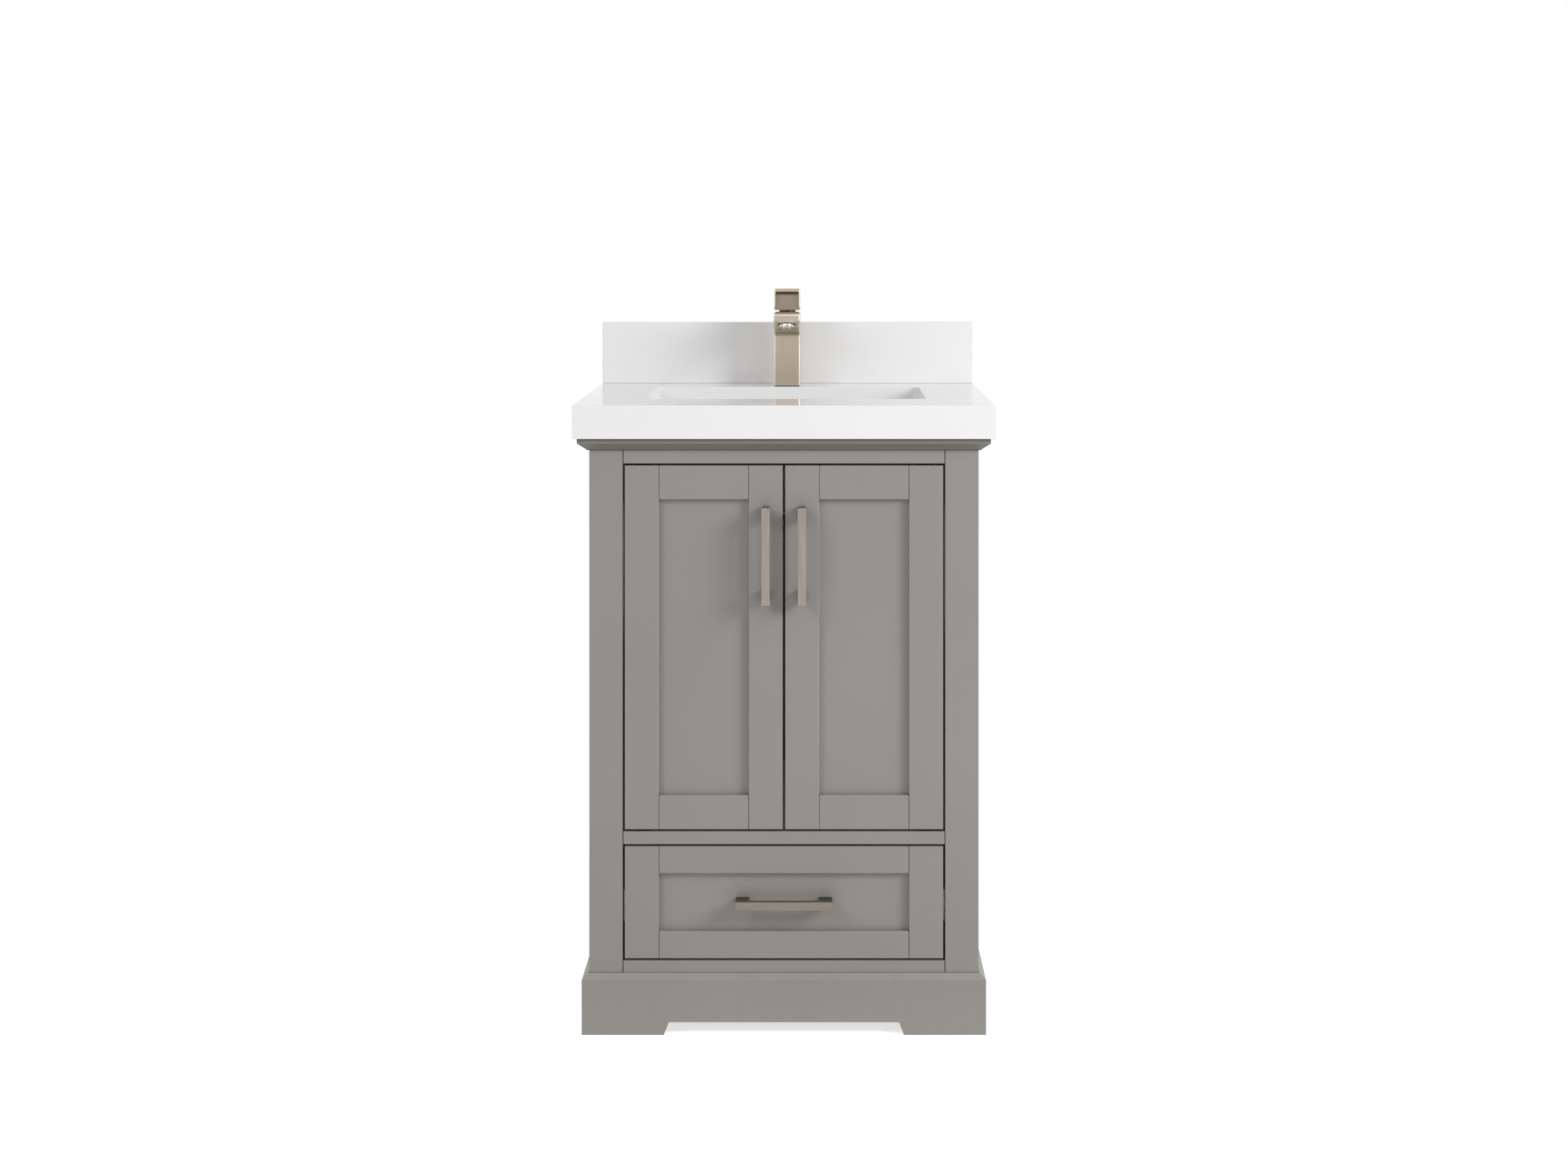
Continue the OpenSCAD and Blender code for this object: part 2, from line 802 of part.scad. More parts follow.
// The form of the bowl, grown outwards by the given thickness
module bowl_form(grow, top_z) {
    upper_r = bowl_r + grow;
    lower_r = bowl_floor_r + grow;
    hull() {
        for (x = [-1, 1], y = [-1, 1]) {
            translate([x * (basin_w / 2 - bowl_r), y * (basin_d / 2 - bowl_r), top_z - 1])
                cylinder(r = upper_r, h = 1, $fn = 32);
            translate([
                x * (basin_w / 2 - bowl_draft - bowl_floor_r), y * (basin_d / 2 - bowl_draft - bowl_floor_r),
                bowl_floor_z + bowl_floor_r
            ]) {
                sphere(r = lower_r, $fn = 32);
                translate([0, 0, -lower_r]) cylinder(r = lower_r * 0.1, h = lower_r, $fn = 32);
            }
        }
    }
}

module basin() {
    color(china) translate([0, basin_y, 0]) difference() {
        union() {
            bowl_form(basin_t, slab_z - 1);
            translate([0, 0, slab_z - rim_t]) linear_extrude(rim_t)
                round_rect(basin_w + 2 * rim_w, basin_d + 2 * rim_w, bowl_r);
        }
        bowl_form(0, slab_z + 1);
        translate([0, 0, basin_under_z - 1]) cylinder(r = drain_hole_r, h = basin_t + 2);
    }
}

// A clip that holds the rim up: a stud in the stone, a plate under the rim and a nut
module basin_clip() {
    under_z = slab_z - rim_t;
    block([-clip_hold, -clip_w / 2, under_z - clip_t], [clip_reach, clip_w / 2, under_z]);
    translate([clip_reach / 2, 0, under_z - stud_l]) cylinder(r = stud_r, h = rim_t + stud_l);
    translate([clip_reach / 2, 0, under_z - clip_t - clip_nut_t])
        cylinder(r = clip_nut_r, h = clip_nut_t, $fn = 6);
}

module basin_clips() {
    clip_x = basin_w / 2 - clip_in;
    clip_y = basin_d / 2 + rim_w;
    color(steel) translate([0, basin_y, 0]) for (side = [-1, 1]) {
        translate([side * clip_x, -clip_y, 0]) rotate(-90) basin_clip();
        translate([side * clip_x, clip_y, 0]) rotate(90) basin_clip();
    }
}

module drain_body() {
    color(nickel) translate([0, basin_y, 0]) {
        ring(drain_flange_r, drain_bore_r, bowl_floor_z, drain_flange_t);
        ring(drain_r, drain_bore_r, drain_end_z, drain_l + 1);
        difference() {
            translate([0, 0, spider_z]) {
                block(
                    [-drain_bore_r - drain_wall / 2, -spider_w / 2, 0],
                    [drain_bore_r + drain_wall / 2, spider_w / 2, spider_t]
                );
                cylinder(r = stopper_stem_r + spider_wall, h = spider_t);
            }
            translate([0, 0, spider_z - 1]) cylinder(r = stopper_stem_r + pin_fit, h = spider_t + 2);
        }
    }
}

module drain_gasket() {
    color(rubber) translate([0, basin_y, 0])
        ring(drain_flange_r, drain_r + thread_fit, basin_under_z - gasket_ring_t, gasket_ring_t);
}

module drain_locknut() {
    color(nickel) translate([0, basin_y, basin_under_z - gasket_ring_t - locknut_t]) difference() {
        cylinder(r = drain_flange_r, h = locknut_t, $fn = 6);
        translate([0, 0, -1]) cylinder(r = drain_r + thread_fit, h = locknut_t + 2);
    }
}

// The tail pipe, with the coupling that joins it to the drain's body
module tailpiece() {
    color(nickel) translate([0, basin_y, 0]) {
        ring(tail_r, tail_r - tail_wall, drain_end_z - tail_l, tail_l);
        ring(drain_r + coupling_wall, tail_r - tail_wall / 2, drain_end_z - coupling_under, coupling_under);
        ring(drain_r + coupling_wall, drain_r + thread_fit, drain_end_z - 1, coupling_over + 1);
    }
}

module drain_stopper() {
    cap_z = bowl_floor_z + drain_flange_t + free_fit;
    color(nickel) translate([0, basin_y, 0]) {
        translate([0, 0, cap_z]) rotate_extrude() polygon([
            [0, 0], [stopper_r - stopper_edge, 0], [stopper_r, stopper_edge],
            [stopper_r, stopper_t - stopper_edge], [stopper_r - stopper_edge, stopper_t], [0, stopper_t]
        ]);
        translate([0, 0, spider_z - stopper_tail])
            cylinder(r = stopper_stem_r, h = cap_z + stopper_edge - spider_z + stopper_tail);
    }
}

// ---- Tap ----

// Places a side view, drawn as distance forward and height, on the tap's centre line
module tap_extrusion(w) {
    translate([-w / 2, tap_y, 0]) mirror([0, 1, 0]) rotate([90, 0, 90]) linear_extrude(w) children();
}

spout_under_z = column_top_z - spout_t;

// The column and the spout, whose underside falls to the column and ends in a hollow curve
module tap_section() {
    front = column_d / 2;
    curve_at = [front + cove_r, spout_under_z - throat_drop];
    nose_at = [spout_reach - nose_l, spout_under_z - nose_drop];
    run = nose_at - curve_at;
    fall = atan2(run.y, run.x) - asin(cove_r / norm(run));
    polygon(concat(
        [[-front, column_top_z], [-front, tap_z], [front, tap_z]],
        [for (part = [0:0.125:1]) let (a = 180 - part * (90 - fall)) curve_at + cove_r * [cos(a), sin(a)]],
        [nose_at, [spout_reach, spout_under_z], [spout_reach, column_top_z]]
    ));
}

module tap_body() {
    color(nickel) difference() {
        union() {
            tap_extrusion(tap_w) tap_section();
            translate([0, tap_y, slab_z - shank_l])
                cylinder(r = shank_r, h = stone_t + shank_l + gasket_t + 1);
        }
        translate([0, tap_y, column_top_z - neck_l]) cylinder(r = neck_r + pin_fit, h = neck_l + 1);
        for (side = [-1, 1])
            translate([side * inlet_pitch / 2, tap_y, slab_z - shank_l - 1])
                cylinder(r = inlet_r, h = inlet_l + 1);
    }
}

// The aerator stands square on the nose's sloping underside
module aerator() {
    slope = atan2(nose_drop, nose_l);
    along = aerator_in + aerator_r;
    color(nickel) translate([
        0, tap_y - spout_reach + along * cos(slope), spout_under_z - along * sin(slope)
    ]) rotate([-slope, 0, 0]) translate([0, 0, -aerator_h]) difference() {
        cylinder(r = aerator_r, h = aerator_h);
        translate([0, 0, -1]) cylinder(r = aerator_r - aerator_lip, h = aerator_mouth + 1);
    }
}

module tap_gasket() {
    color(rubber) translate([0, tap_y, surface_z]) linear_extrude(gasket_t) difference() {
        round_rect(tap_w - 2 * gasket_in, column_d - 2 * gasket_in, gasket_in);
        circle(shank_r + thread_fit);
    }
}

// The washer and the hexagon nut that clamp the tap from below
module tap_locknut() {
    color(steel) translate([0, tap_y, 0]) {
        ring(tap_nut_r, shank_r + thread_fit, slab_z - tap_washer_t, tap_washer_t);
        translate([0, 0, slab_z - tap_washer_t - tap_nut_t]) difference() {
            cylinder(r = tap_nut_r, h = tap_nut_t, $fn = 6);
            translate([0, 0, -1]) cylinder(r = shank_r + thread_fit, h = tap_nut_t + 2);
        }
    }
}

knuckle_r = heel_r - heel_wall;
pivot_at = [heel_forward, handle_z + heel_r];

// The tongue leans forward from its knuckle, so the handle's heel can turn under it
module tongue_section() {
    foot_z = -heel_r - 2 * neck_fit;
    translate(pivot_at) {
        circle(knuckle_r);
        polygon([
            [0, 0], [tongue_back, foot_z], [tongue_front, foot_z], [tongue_reach, 0],
            [knuckle_r / 2, knuckle_r - 1]
        ]);
    }
}

module tap_stem() {
    color(steel) {
        translate([0, tap_y, column_top_z - neck_l]) cylinder(r = neck_r, h = neck_l + handle_gap - neck_fit);
        tap_extrusion(tongue_t) tongue_section();
        translate([-tongue_t / 2 - pin_over, tap_y - pivot_at.x, pivot_at.y]) rotate([0, 90, 0])
            cylinder(r = tongue_pin_r, h = tongue_t + 2 * pin_over);
    }
}

module handle_section() {
    back = -column_d / 2;
    top = handle_z + handle_h;
    translate(pivot_at) circle(heel_r);
    toe = handle_reach - toe_back;
    polygon([
        [heel_forward, handle_z], [toe - toe_cut, handle_z], [toe, handle_z + toe_h],
        [handle_reach, top - handle_top_t], [handle_reach, top], [back, top], [back, handle_z + heel_r]
    ]);
}

// The finger hollow between the cheeks, under the handle's top
module finger_hollow() {
    top = handle_z + handle_h - handle_top_t;
    bottom = handle_z - 1;
    polygon([
        [handle_reach - finger_d, top], [handle_reach + 1, top],
        [handle_reach + 1, bottom], [handle_reach - finger_d + finger_slant, bottom]
    ]);
}

module handle_cavity() {
    hollow_r = knuckle_r + knuckle_fit;
    translate(pivot_at) {
        circle(hollow_r);
        translate([0, -heel_r - 1]) square([cavity_d, heel_r + 1 + hollow_r]);
    }
}

module tap_handle() {
    pin_hole_l = tongue_t + 2 * pin_over + 1;
    color(nickel) difference() {
        tap_extrusion(tap_w) handle_section();
        tap_extrusion(tap_w - 2 * cheek_t) finger_hollow();
        tap_extrusion(tongue_t + 2 * neck_fit) handle_cavity();
        translate([-pin_hole_l / 2, tap_y - pivot_at.x, pivot_at.y]) rotate([0, 90, 0])
            cylinder(r = tongue_pin_r + pin_fit, h = pin_hole_l);
    }
}

// ---- Pivot hinges and catches ----

plate_x = door_x + plate_in;

// A plate on the pivot's line, on the given side of a level
module pivot_plate(z, up) {
    block(
        [plate_x, pivot_y - plate_w / 2, up > 0 ? z : z - plate_t],
        [plate_x + plate_l, pivot_y + plate_w / 2, up > 0 ? z + plate_t : z]
    );
}

module pivot_cylinder(r, z, h, up) {
    translate([pivot_x, pivot_y, up > 0 ? z : z - h]) cylinder(r = r, h = h);
}

// The recess in a rail for a bracket's plate and bush
module pivot_recess(z, up) {
    pivot_plate(z, up);
    pivot_cylinder(bush_r, z, bush_l + 1, up);
    block([plate_x, pivot_y - plate_w / 2, z - 0.5], [plate_x + plate_l, pivot_y + plate_w / 2, z + 0.5]);
}

module pivot_bracket(z, up) {
    difference() {
        union() {
            pivot_plate(z, up);
            pivot_cylinder(bush_r, z, bush_l + 1, up);
        }
        pivot_cylinder(pivot_r + pin_fit, z - up, bush_l + 1, up);
    }
}

module pivot_brackets() {
    color(steel) both_sides() {
        pivot_bracket(top_rail_z, 1);
        pivot_bracket(deck_z, -1);
    }
}

// The door's leaves: a plate let into each end and a pin that stands out of it
module door_pivots() {
    pivot_plate(door_top_z, -1);
    pivot_cylinder(pivot_r, door_top_z - 1, end_gap + bush_l, 1);
    pivot_plate(door_z, 1);
    pivot_cylinder(pivot_r, door_z + 1, end_gap + bush_l, -1);
    pivot_cylinder(collar_r, door_z, end_gap - free_fit, -1);
}

strike_x = -meeting_gap / 2 - member_w / 2;
strike_z = door_top_z - strike_drop;

module door_strike() {
    block(
        [strike_x - catch_w / 2, front_back_y, strike_z - strike_h / 2],
        [strike_x + catch_w / 2, front_back_y + strike_t, strike_z + strike_h / 2]
    );
}

// A magnetic catch: fixed to the back of the top rail, it hangs down behind the door
module door_catch() {
    catch_face_y = front_back_y + strike_t + free_fit;
    bottom = strike_z - strike_h / 2 - end_gap;
    top = top_rail_z + catch_up;
    translate([strike_x - catch_w / 2, 0, 0]) rotate([90, 0, 90]) linear_extrude(catch_w) polygon([
        [catch_face_y, bottom], [catch_face_y, top_rail_z], [frame_back_y, top_rail_z],
        [frame_back_y, top], [frame_back_y + catch_d, top], [frame_back_y + catch_d, bottom]
    ]);
}

module door_catches() {
    color(steel) both_sides() door_catch();
}

// ---- Framed fronts ----

// A stile on the left of a front, grooved for the panel and the rails' tongues
module front_stile(x, z_low, z_high) {
    difference() {
        board([x, face_y, z_low], [x + member_w, front_back_y, z_high]);
        block(
            [x + member_w - groove_d, face_y + panel_recess, z_low - 1],
            [x + member_w + 1, face_y + panel_recess + panel_t, z_high + 1]
        );
    }
}

// A rail with a tongue at each end, grooved for the panel above it or below it
module front_rail(x_low, x_high, z_low, z_high, groove_up) {
    groove_z = groove_up ? z_high - groove_d : z_low - 1;
    tongue_y = face_y + panel_recess;
    difference() {
        union() {
            board([x_low, face_y, z_low], [x_high, front_back_y, z_high]);
            block(
                [x_low - groove_d + panel_play, tongue_y, z_low + (groove_up ? 0 : ease)],
                [x_high + groove_d - panel_play, tongue_y + panel_t, z_high - (groove_up ? ease : 0)]
            );
        }
        block(
            [x_low - groove_d, tongue_y, groove_z],
            [x_high + groove_d, tongue_y + panel_t, groove_z + groove_d + 1]
        );
    }
}

// The flat panel held in the grooves of a front whose inner opening is given
module front_panel(x_low, x_high, z_low, z_high) {
    held = groove_d - panel_play;
    block(
        [x_low - held, face_y + panel_recess, z_low - held],
        [x_high + held, face_y + panel_recess + panel_t, z_high + held]
    );
}

door_in_x = door_x + member_w;
door_out_x = door_x + door_w - member_w;

module door_stiles() {
    difference() {
        front_stile(door_x, door_z, door_top_z);
        pivot_plate(door_top_z, -1);
        pivot_plate(door_z, 1);
        pivot_cylinder(pivot_r, door_top_z + 1, bush_l, -1);
        pivot_cylinder(pivot_r, door_z - 1, bush_l, 1);
    }
    translate([door_x + door_w, 0, 0]) mirror([1, 0, 0]) front_stile(0, door_z, door_top_z);
}

module door_rails() {
    front_rail(door_in_x, door_out_x, door_z, door_z + member_w, true);
    front_rail(door_in_x, door_out_x, door_top_z - member_w, door_top_z, false);
}

module door_panel() {
    front_panel(door_in_x, door_out_x, door_z + member_w, door_top_z - member_w);
}

// A square bar on two square posts, centred, standing out of the plane y = 0
module pull() {
    reach = pull_l / 2;
    half = pull_bar / 2;
    post = half - ease;
    board([-reach, -pull_out, -half], [reach, -pull_out + pull_bar_d, half]);
    for (side = [-1, 1])
        translate([side * (reach - half), 0, 0])
            block([-post, -pull_out + pull_bar_d / 2, -post], [post, 0, post]);
}

module door_pull() {
    translate([door_x + door_w - member_w / 2, face_y, door_top_z - pull_drop - pull_l / 2])
        rotate([0, 90, 0]) pull();
}

module left_door_stiles() {
    color(paint) door_stiles();
}

module left_door_rails() {
    color(paint) door_rails();
}

module left_door_panel() {
    color(paint) door_panel();
}

module left_door_pivots() {
    color(steel) door_pivots();
}

module left_door_strike() {
    color(steel) door_strike();
}

module left_door_pull() {
    color(nickel) door_pull();
}

module right_door_stiles() {
    color(paint) mirror([1, 0, 0]) door_stiles();
}

module right_door_rails() {
    color(paint) mirror([1, 0, 0]) door_rails();
}

module right_door_panel() {
    color(paint) mirror([1, 0, 0]) door_panel();
}

module right_door_pivots() {
    color(steel) mirror([1, 0, 0]) door_pivots();
}

module right_door_strike() {
    color(steel) mirror([1, 0, 0]) door_strike();
}

module right_door_pull() {
    color(nickel) mirror([1, 0, 0]) door_pull();
}

// ---- Drawer ----

drawer_front_top_z = drawer_front_z + drawer_front_h;
drawer_in_x = drawer_front_x - member_w;

module drawer_front_stiles() {
    color(paint) both_sides() front_stile(-drawer_front_x, drawer_front_z, drawer_front_top_z);
}

module drawer_front_rails() {
    color(paint) {
        front_rail(-drawer_in_x, drawer_in_x, drawer_front_z, drawer_front_z + drawer_rail_w, true);
        front_rail(-drawer_in_x, drawer_in_x, drawer_front_top_z - drawer_rail_w, drawer_front_top_z, false);
    }
}

module drawer_front_panel() {
    color(paint) front_panel(
        -drawer_in_x, drawer_in_x, drawer_front_z + drawer_rail_w, drawer_front_top_z - drawer_rail_w
    );
}

module drawer_pull() {
    color(nickel) translate([0, face_y + panel_recess, (drawer_front_z + drawer_front_top_z) / 2]) pull();
}

// The pins at one end of the drawer box, drawn as distance in from the end and height
module dovetail_pins() {
    pitch = box_h / tails;
    narrow = pin_w / 2;
    wide = narrow + tail_spread * box_t;
    intersection() {
        for (i = [0:tails]) translate([0, box_z + i * pitch])
            polygon([[0, -narrow], [box_t, -wide], [box_t, wide], [0, narrow]]);
        translate([0, box_z]) square([box_t, box_h]);
    }
}

// The pins of the box's front and back, carried across its whole width
module front_pins() {
    translate([-box_x, front_back_y, 0]) rotate([90, 0, 90]) linear_extrude(2 * box_x) dovetail_pins();
}

module back_pins() {
    translate([-box_x, box_back_y, 0]) mirror([0, 1, 0]) rotate([90, 0, 90]) linear_extrude(2 * box_x)
        dovetail_pins();
}

// The groove that the drawer's bottom slides into
module bottom_groove() {
    held = box_t - bottom_groove_d;
    block(
        [-box_x + held, front_back_y + held, box_z + bottom_up],
        [box_x - held, box_back_y - held, box_z + bottom_up + bottom_t]
    );
}

module drawer_sides() {
    color(birch) both_sides() difference() {
        block([-box_x, front_back_y, box_z], [-box_x + box_t, box_back_y, box_z + box_h]);
        front_pins();
        back_pins();
        bottom_groove();
    }
}

module drawer_box_front() {
    color(birch) difference() {
        union() {
            block(
                [-box_x + box_t, front_back_y, box_z],
                [box_x - box_t, front_back_y + box_t, box_z + box_h]
            );
            front_pins();
        }
        bottom_groove();
    }
}

module drawer_box_back() {
    color(birch) difference() {
        union() {
            block([-box_x + box_t, box_back_y - box_t, box_z], [box_x - box_t, box_back_y, box_z + box_h]);
            back_pins();
        }
        bottom_groove();
    }
}

module drawer_bottom() {
    held = box_t - bottom_groove_d + free_fit;
    color(ply) block(
        [-box_x + held, front_back_y + held, box_z + bottom_up],
        [box_x - held, box_back_y - held, box_z + bottom_up + bottom_t]
    );
}

// ---- Drawer slides ----

// Both slides' members of one kind: the section is drawn out from the cleat, about the slide's middle
module slide_members() {
    both_sides() translate([-open_x, slide_y + slide_l, slide_z]) rotate([90, 0, 0])
        linear_extrude(slide_l) children();
}

// A channel whose web lies from u and whose flanges reach to u_end
module channel(u, u_end, h, t) {
    back_u = min(u, u_end);
    translate([u, -h / 2]) square([t, h]);
    for (edge = [-h / 2, h / 2 - t])
        translate([back_u, edge]) square([abs(u_end - u), t]);
}

middle_u = slide_t + web_gap;

module slide_outer_members() {
    color(steel) slide_members() channel(0, slide_w - outer_short, slide_h, slide_t);
}

// The middle members, with the ball cages that run above and below them and inside them
module slide_middle_members() {
    outer_cage = slide_h / 2 - slide_t - slide_play;
    inner_cage = inner_h / 2 + slide_play;
    color(steel) slide_members() {
        channel(middle_u, slide_w - middle_short, middle_h, slide_t);
        for (side = [0, 1]) mirror([0, side]) {
            translate([middle_u + slide_t, middle_h / 2 - slide_t / 2])
                square([outer_cage_w, outer_cage - middle_h / 2 + slide_t / 2]);
            translate([slide_w - middle_short - inner_cage_w, inner_cage])
                square([inner_cage_w, middle_h / 2 - slide_t / 2 - inner_cage]);
        }
    }
}

module slide_inner_members() {
    color(steel) slide_members() channel(slide_w - slide_t, slide_w - inner_flange, inner_h, slide_t);
}

side_panel_left();
side_panel_right();
stile_left();
stile_right();
top_rail();
middle_rail();
bottom_rail();
cabinet_floor();
drawer_deck();
back_panel();
wall_rail();
slide_cleats();
corner_blocks();
cornice_front();
cornice_sides();
plinth_front();
plinth_sides();
countertop();
apron_front();
apron_sides();
backsplash();
basin();
basin_clips();
drain_body();
drain_gasket();
drain_locknut();
tailpiece();
tap_body();
aerator();
tap_gasket();
tap_locknut();
slide_outer_members();
pivot_brackets();
door_catches();
left_door_stiles();
left_door_rails();
left_door_panel();
left_door_pivots();
left_door_strike();
left_door_pull();
right_door_stiles();
right_door_rails();
right_door_panel();
right_door_pivots();
right_door_strike();
right_door_pull();
drawer_front_stiles();
drawer_front_rails();
drawer_front_panel();
drawer_sides();
drawer_box_front();
drawer_box_back();
drawer_bottom();
slide_inner_members();
drawer_pull();
slide_middle_members();
tap_stem();
tap_handle();
drain_stopper();
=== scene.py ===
# A painted bathroom vanity with a quartz counter, finished piece by piece as it is put together.
import math

import bmesh
import bpy
import numpy as np
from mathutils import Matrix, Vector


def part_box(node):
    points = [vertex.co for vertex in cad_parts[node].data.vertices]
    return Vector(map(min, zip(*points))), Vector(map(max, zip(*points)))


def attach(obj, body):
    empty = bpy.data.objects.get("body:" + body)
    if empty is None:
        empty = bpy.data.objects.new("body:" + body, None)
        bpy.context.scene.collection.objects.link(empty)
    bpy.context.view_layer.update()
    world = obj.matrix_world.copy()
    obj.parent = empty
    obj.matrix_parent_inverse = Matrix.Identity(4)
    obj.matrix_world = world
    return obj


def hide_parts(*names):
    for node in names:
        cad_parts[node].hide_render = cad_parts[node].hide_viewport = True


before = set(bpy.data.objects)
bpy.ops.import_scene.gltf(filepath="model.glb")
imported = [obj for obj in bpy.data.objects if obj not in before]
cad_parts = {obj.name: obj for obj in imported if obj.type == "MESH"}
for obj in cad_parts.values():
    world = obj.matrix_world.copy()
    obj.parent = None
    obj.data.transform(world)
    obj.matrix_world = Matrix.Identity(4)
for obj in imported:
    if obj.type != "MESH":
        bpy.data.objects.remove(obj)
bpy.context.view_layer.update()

# ---- Studio ----
# A white floor that keeps the vanity's shadow, a white surround, a soft lamp on the right and a
# weaker one on the left. The camera is level, so that upright edges stay upright, and its lens is
# shifted down to frame the vanity.
MM = 0.001
scene = bpy.context.scene
scene.view_settings.view_transform = "Standard"


def fill_sockets(tree, node, named):
    """Puts each value on the socket of its name, or links it where the value is itself a socket."""
    for name, value in named.items():
        target = node.inputs[name if isinstance(name, int) else name.replace("_", " ")]
        if isinstance(value, bpy.types.NodeSocket):
            tree.links.new(value, target)
        else:
            target.default_value = value


def add_node(tree, kind, *in_order, **named):
    """A node of one kind: lower-case names are its settings, capitalised names its sockets by name, and plain
    arguments its sockets in order."""
    made = tree.nodes.new(kind)
    for name, value in named.items():
        if name[0].islower():
            setattr(made, name, value)
    fill_sockets(tree, made, {n: v for n, v in named.items() if n[0].isupper()})
    fill_sockets(tree, made, dict(enumerate(in_order)))
    return made


def calculate(tree, operation, *values):
    """The result of one arithmetic step on values or sockets."""
    return add_node(tree, "ShaderNodeMath", *values, operation=operation).outputs[0]


def seen_by_eye_or_mirror(tree):
    """1 for rays from the camera and those that a gloss or a glass sends on, and 0 for the light itself."""
    ray = add_node(tree, "ShaderNodeLightPath").outputs
    shiny = calculate(tree, "MAXIMUM", ray["Is Glossy Ray"], ray["Is Transmission Ray"])
    return calculate(tree, "MAXIMUM", ray["Is Camera Ray"], shiny)


surround_light = 0.46
world = bpy.data.worlds.new("white_surround")
scene.world = world
world.use_nodes = True
background = world.node_tree.nodes["Background"]
background.inputs["Color"].default_value = (1, 1, 1, 1)
surround = calculate(
    world.node_tree, "MULTIPLY_ADD",
    seen_by_eye_or_mirror(world.node_tree), 1 - surround_light, surround_light,
)
world.node_tree.links.new(surround, background.inputs["Strength"])

floor_half = 6.0
floor_white = (0.86, 0.86, 0.86, 1)
floor_glow = 0.68
floor_mesh = bpy.data.meshes.new("studio_floor")
floor_corners = np.array([[-1, -1, 0], [1, -1, 0], [1, 1, 0], [-1, 1, 0]]) * floor_half
floor_mesh.from_pydata(floor_corners.tolist(), [], [[0, 1, 2, 3]])
studio_floor = bpy.data.objects.new("studio_floor", floor_mesh)
scene.collection.objects.link(studio_floor)
floor_paper = bpy.data.materials.new("floor_paper")
floor_paper.use_nodes = True
paper = floor_paper.node_tree
glow = calculate(paper, "MULTIPLY", seen_by_eye_or_mirror(paper), floor_glow)
fill_sockets(paper, paper.nodes["Principled BSDF"], {
    "Base Color": floor_white, "Roughness": 0.9, "Specular IOR Level": 0.0,
    "Emission Color": (1, 1, 1, 1), "Emission Strength": glow,
})
floor_mesh.materials.append(floor_paper)

lamp_target, lamp_away = np.array([0.0, -0.25, 0.6]), 3.6


def add_lamp(name, side, rise, size, energy):
    """A round soft lamp that faces the vanity, from an angle to its right and an angle above level."""
    across, up = math.radians(side), math.radians(rise)
    lamp_data = bpy.data.lights.new(name, "AREA")
    lamp_data.shape = "DISK"
    lamp_data.size = size
    lamp_data.energy = energy
    lamp = bpy.data.objects.new(name, lamp_data)
    way = np.array([math.sin(across) * math.cos(up), -math.cos(across) * math.cos(up), math.sin(up)])
    lamp.location = lamp_target + way * lamp_away
    lamp.rotation_euler = (math.pi / 2 - up, 0, across)
    scene.collection.objects.link(lamp)


add_lamp("soft_lamp", side=58, rise=23, size=1.5, energy=77)
add_lamp("fill_lamp", side=-42, rise=28, size=1.6, energy=29)

camera_data = bpy.data.cameras.new("camera")
camera_data.lens = 58.91
camera_data.sensor_width = 36
camera_data.shift_x, camera_data.shift_y = -0.0191, -0.2274
camera = bpy.data.objects.new("camera", camera_data)
camera.location = (0.0434, -3.966, 1.1603)
camera.rotation_euler = (math.pi / 2, 0, 0)
scene.collection.objects.link(camera)
scene.camera = camera


# ---- Side panels and face frame ----
# The carcass's sides are plywood and its face frame is solid wood, mortised and glued. All of it
# is sprayed with a warm grey satin paint, which lies a little thinner and paler on the arrises. That
# paleness is wear together with a painted highlight. The arrises in the joints and beside the gaps
# are darkened almost to black with painted shade.
arris_r = 0.8 * MM
marked_arc_r = 4 * MM
let_in = 0.05 * MM
joint_gap = 0.25 * MM
# A mark of -1: painted shade that darkens the arrises in the joints and beside the gaps.
joint_and_gap_shade = -1.0
paint_grey = (0.268, 0.2535, 0.2315, 1)
paint_grey_deep = (0.254, 0.2405, 0.2205, 1)
paint_worn_highlight = (0.375, 0.358, 0.327, 1)
paint_shade = (0.03, 0.028, 0.025, 1)


def start_group(name, inputs, outputs):
    """An empty shader group with the named sockets, and the nodes that its inside starts and ends with."""
    group = bpy.data.node_groups.new(name, "ShaderNodeTree")
    for side, sockets in (("INPUT", inputs), ("OUTPUT", outputs)):
        for socket, kind in sockets.items():
            group.interface.new_socket(socket, in_out=side, socket_type="NodeSocket" + kind)
    return group, add_node(group, "NodeGroupInput").outputs, add_node(group, "NodeGroupOutput")


def mix_colours(tree, factor, first, second):
    """A colour that goes from first to second as factor goes from 0 to 1."""
    mix = add_node(tree, "ShaderNodeMix", data_type="RGBA")
    fill_sockets(tree, mix, {0: factor, 6: first, 7: second})
    return mix.outputs[2]


def noise(tree, vector, scale, detail=2.0, distortion=0.0):
    """Smooth noise from 0 to 1, with scale in waves per metre of the vector."""
    return add_node(
        tree, "ShaderNodeTexNoise", Vector=vector, Scale=scale, Detail=detail, Distortion=distortion
    ).outputs[0]


def stretched(tree, factor, low, high):
    """factor stretched so that low becomes 0 and high becomes 1, and cut off there."""
    return add_node(
        tree, "ShaderNodeMapRange", Value=factor, From_Min=low, From_Max=high, To_Min=0.0, To_Max=1.0
    ).outputs[0]


handled_gloss, gloss_in, gloss_out = start_group(
    "handled_gloss", {"Vector": "Vector", "Scale": "Float", "Smooth": "Float", "Dull": "Float"},
    {"Roughness": "Float"},
)
smears = noise(handled_gloss, gloss_in["Vector"], gloss_in["Scale"], 4.0)
smudge = stretched(handled_gloss, smears, 0.35, 0.65)
roughness = add_node(
    handled_gloss, "ShaderNodeMapRange", Value=smudge, To_Min=gloss_in["Smooth"], To_Max=gloss_in["Dull"]
)
fill_sockets(handled_gloss, gloss_out, {"Roughness": roughness.outputs[0]})
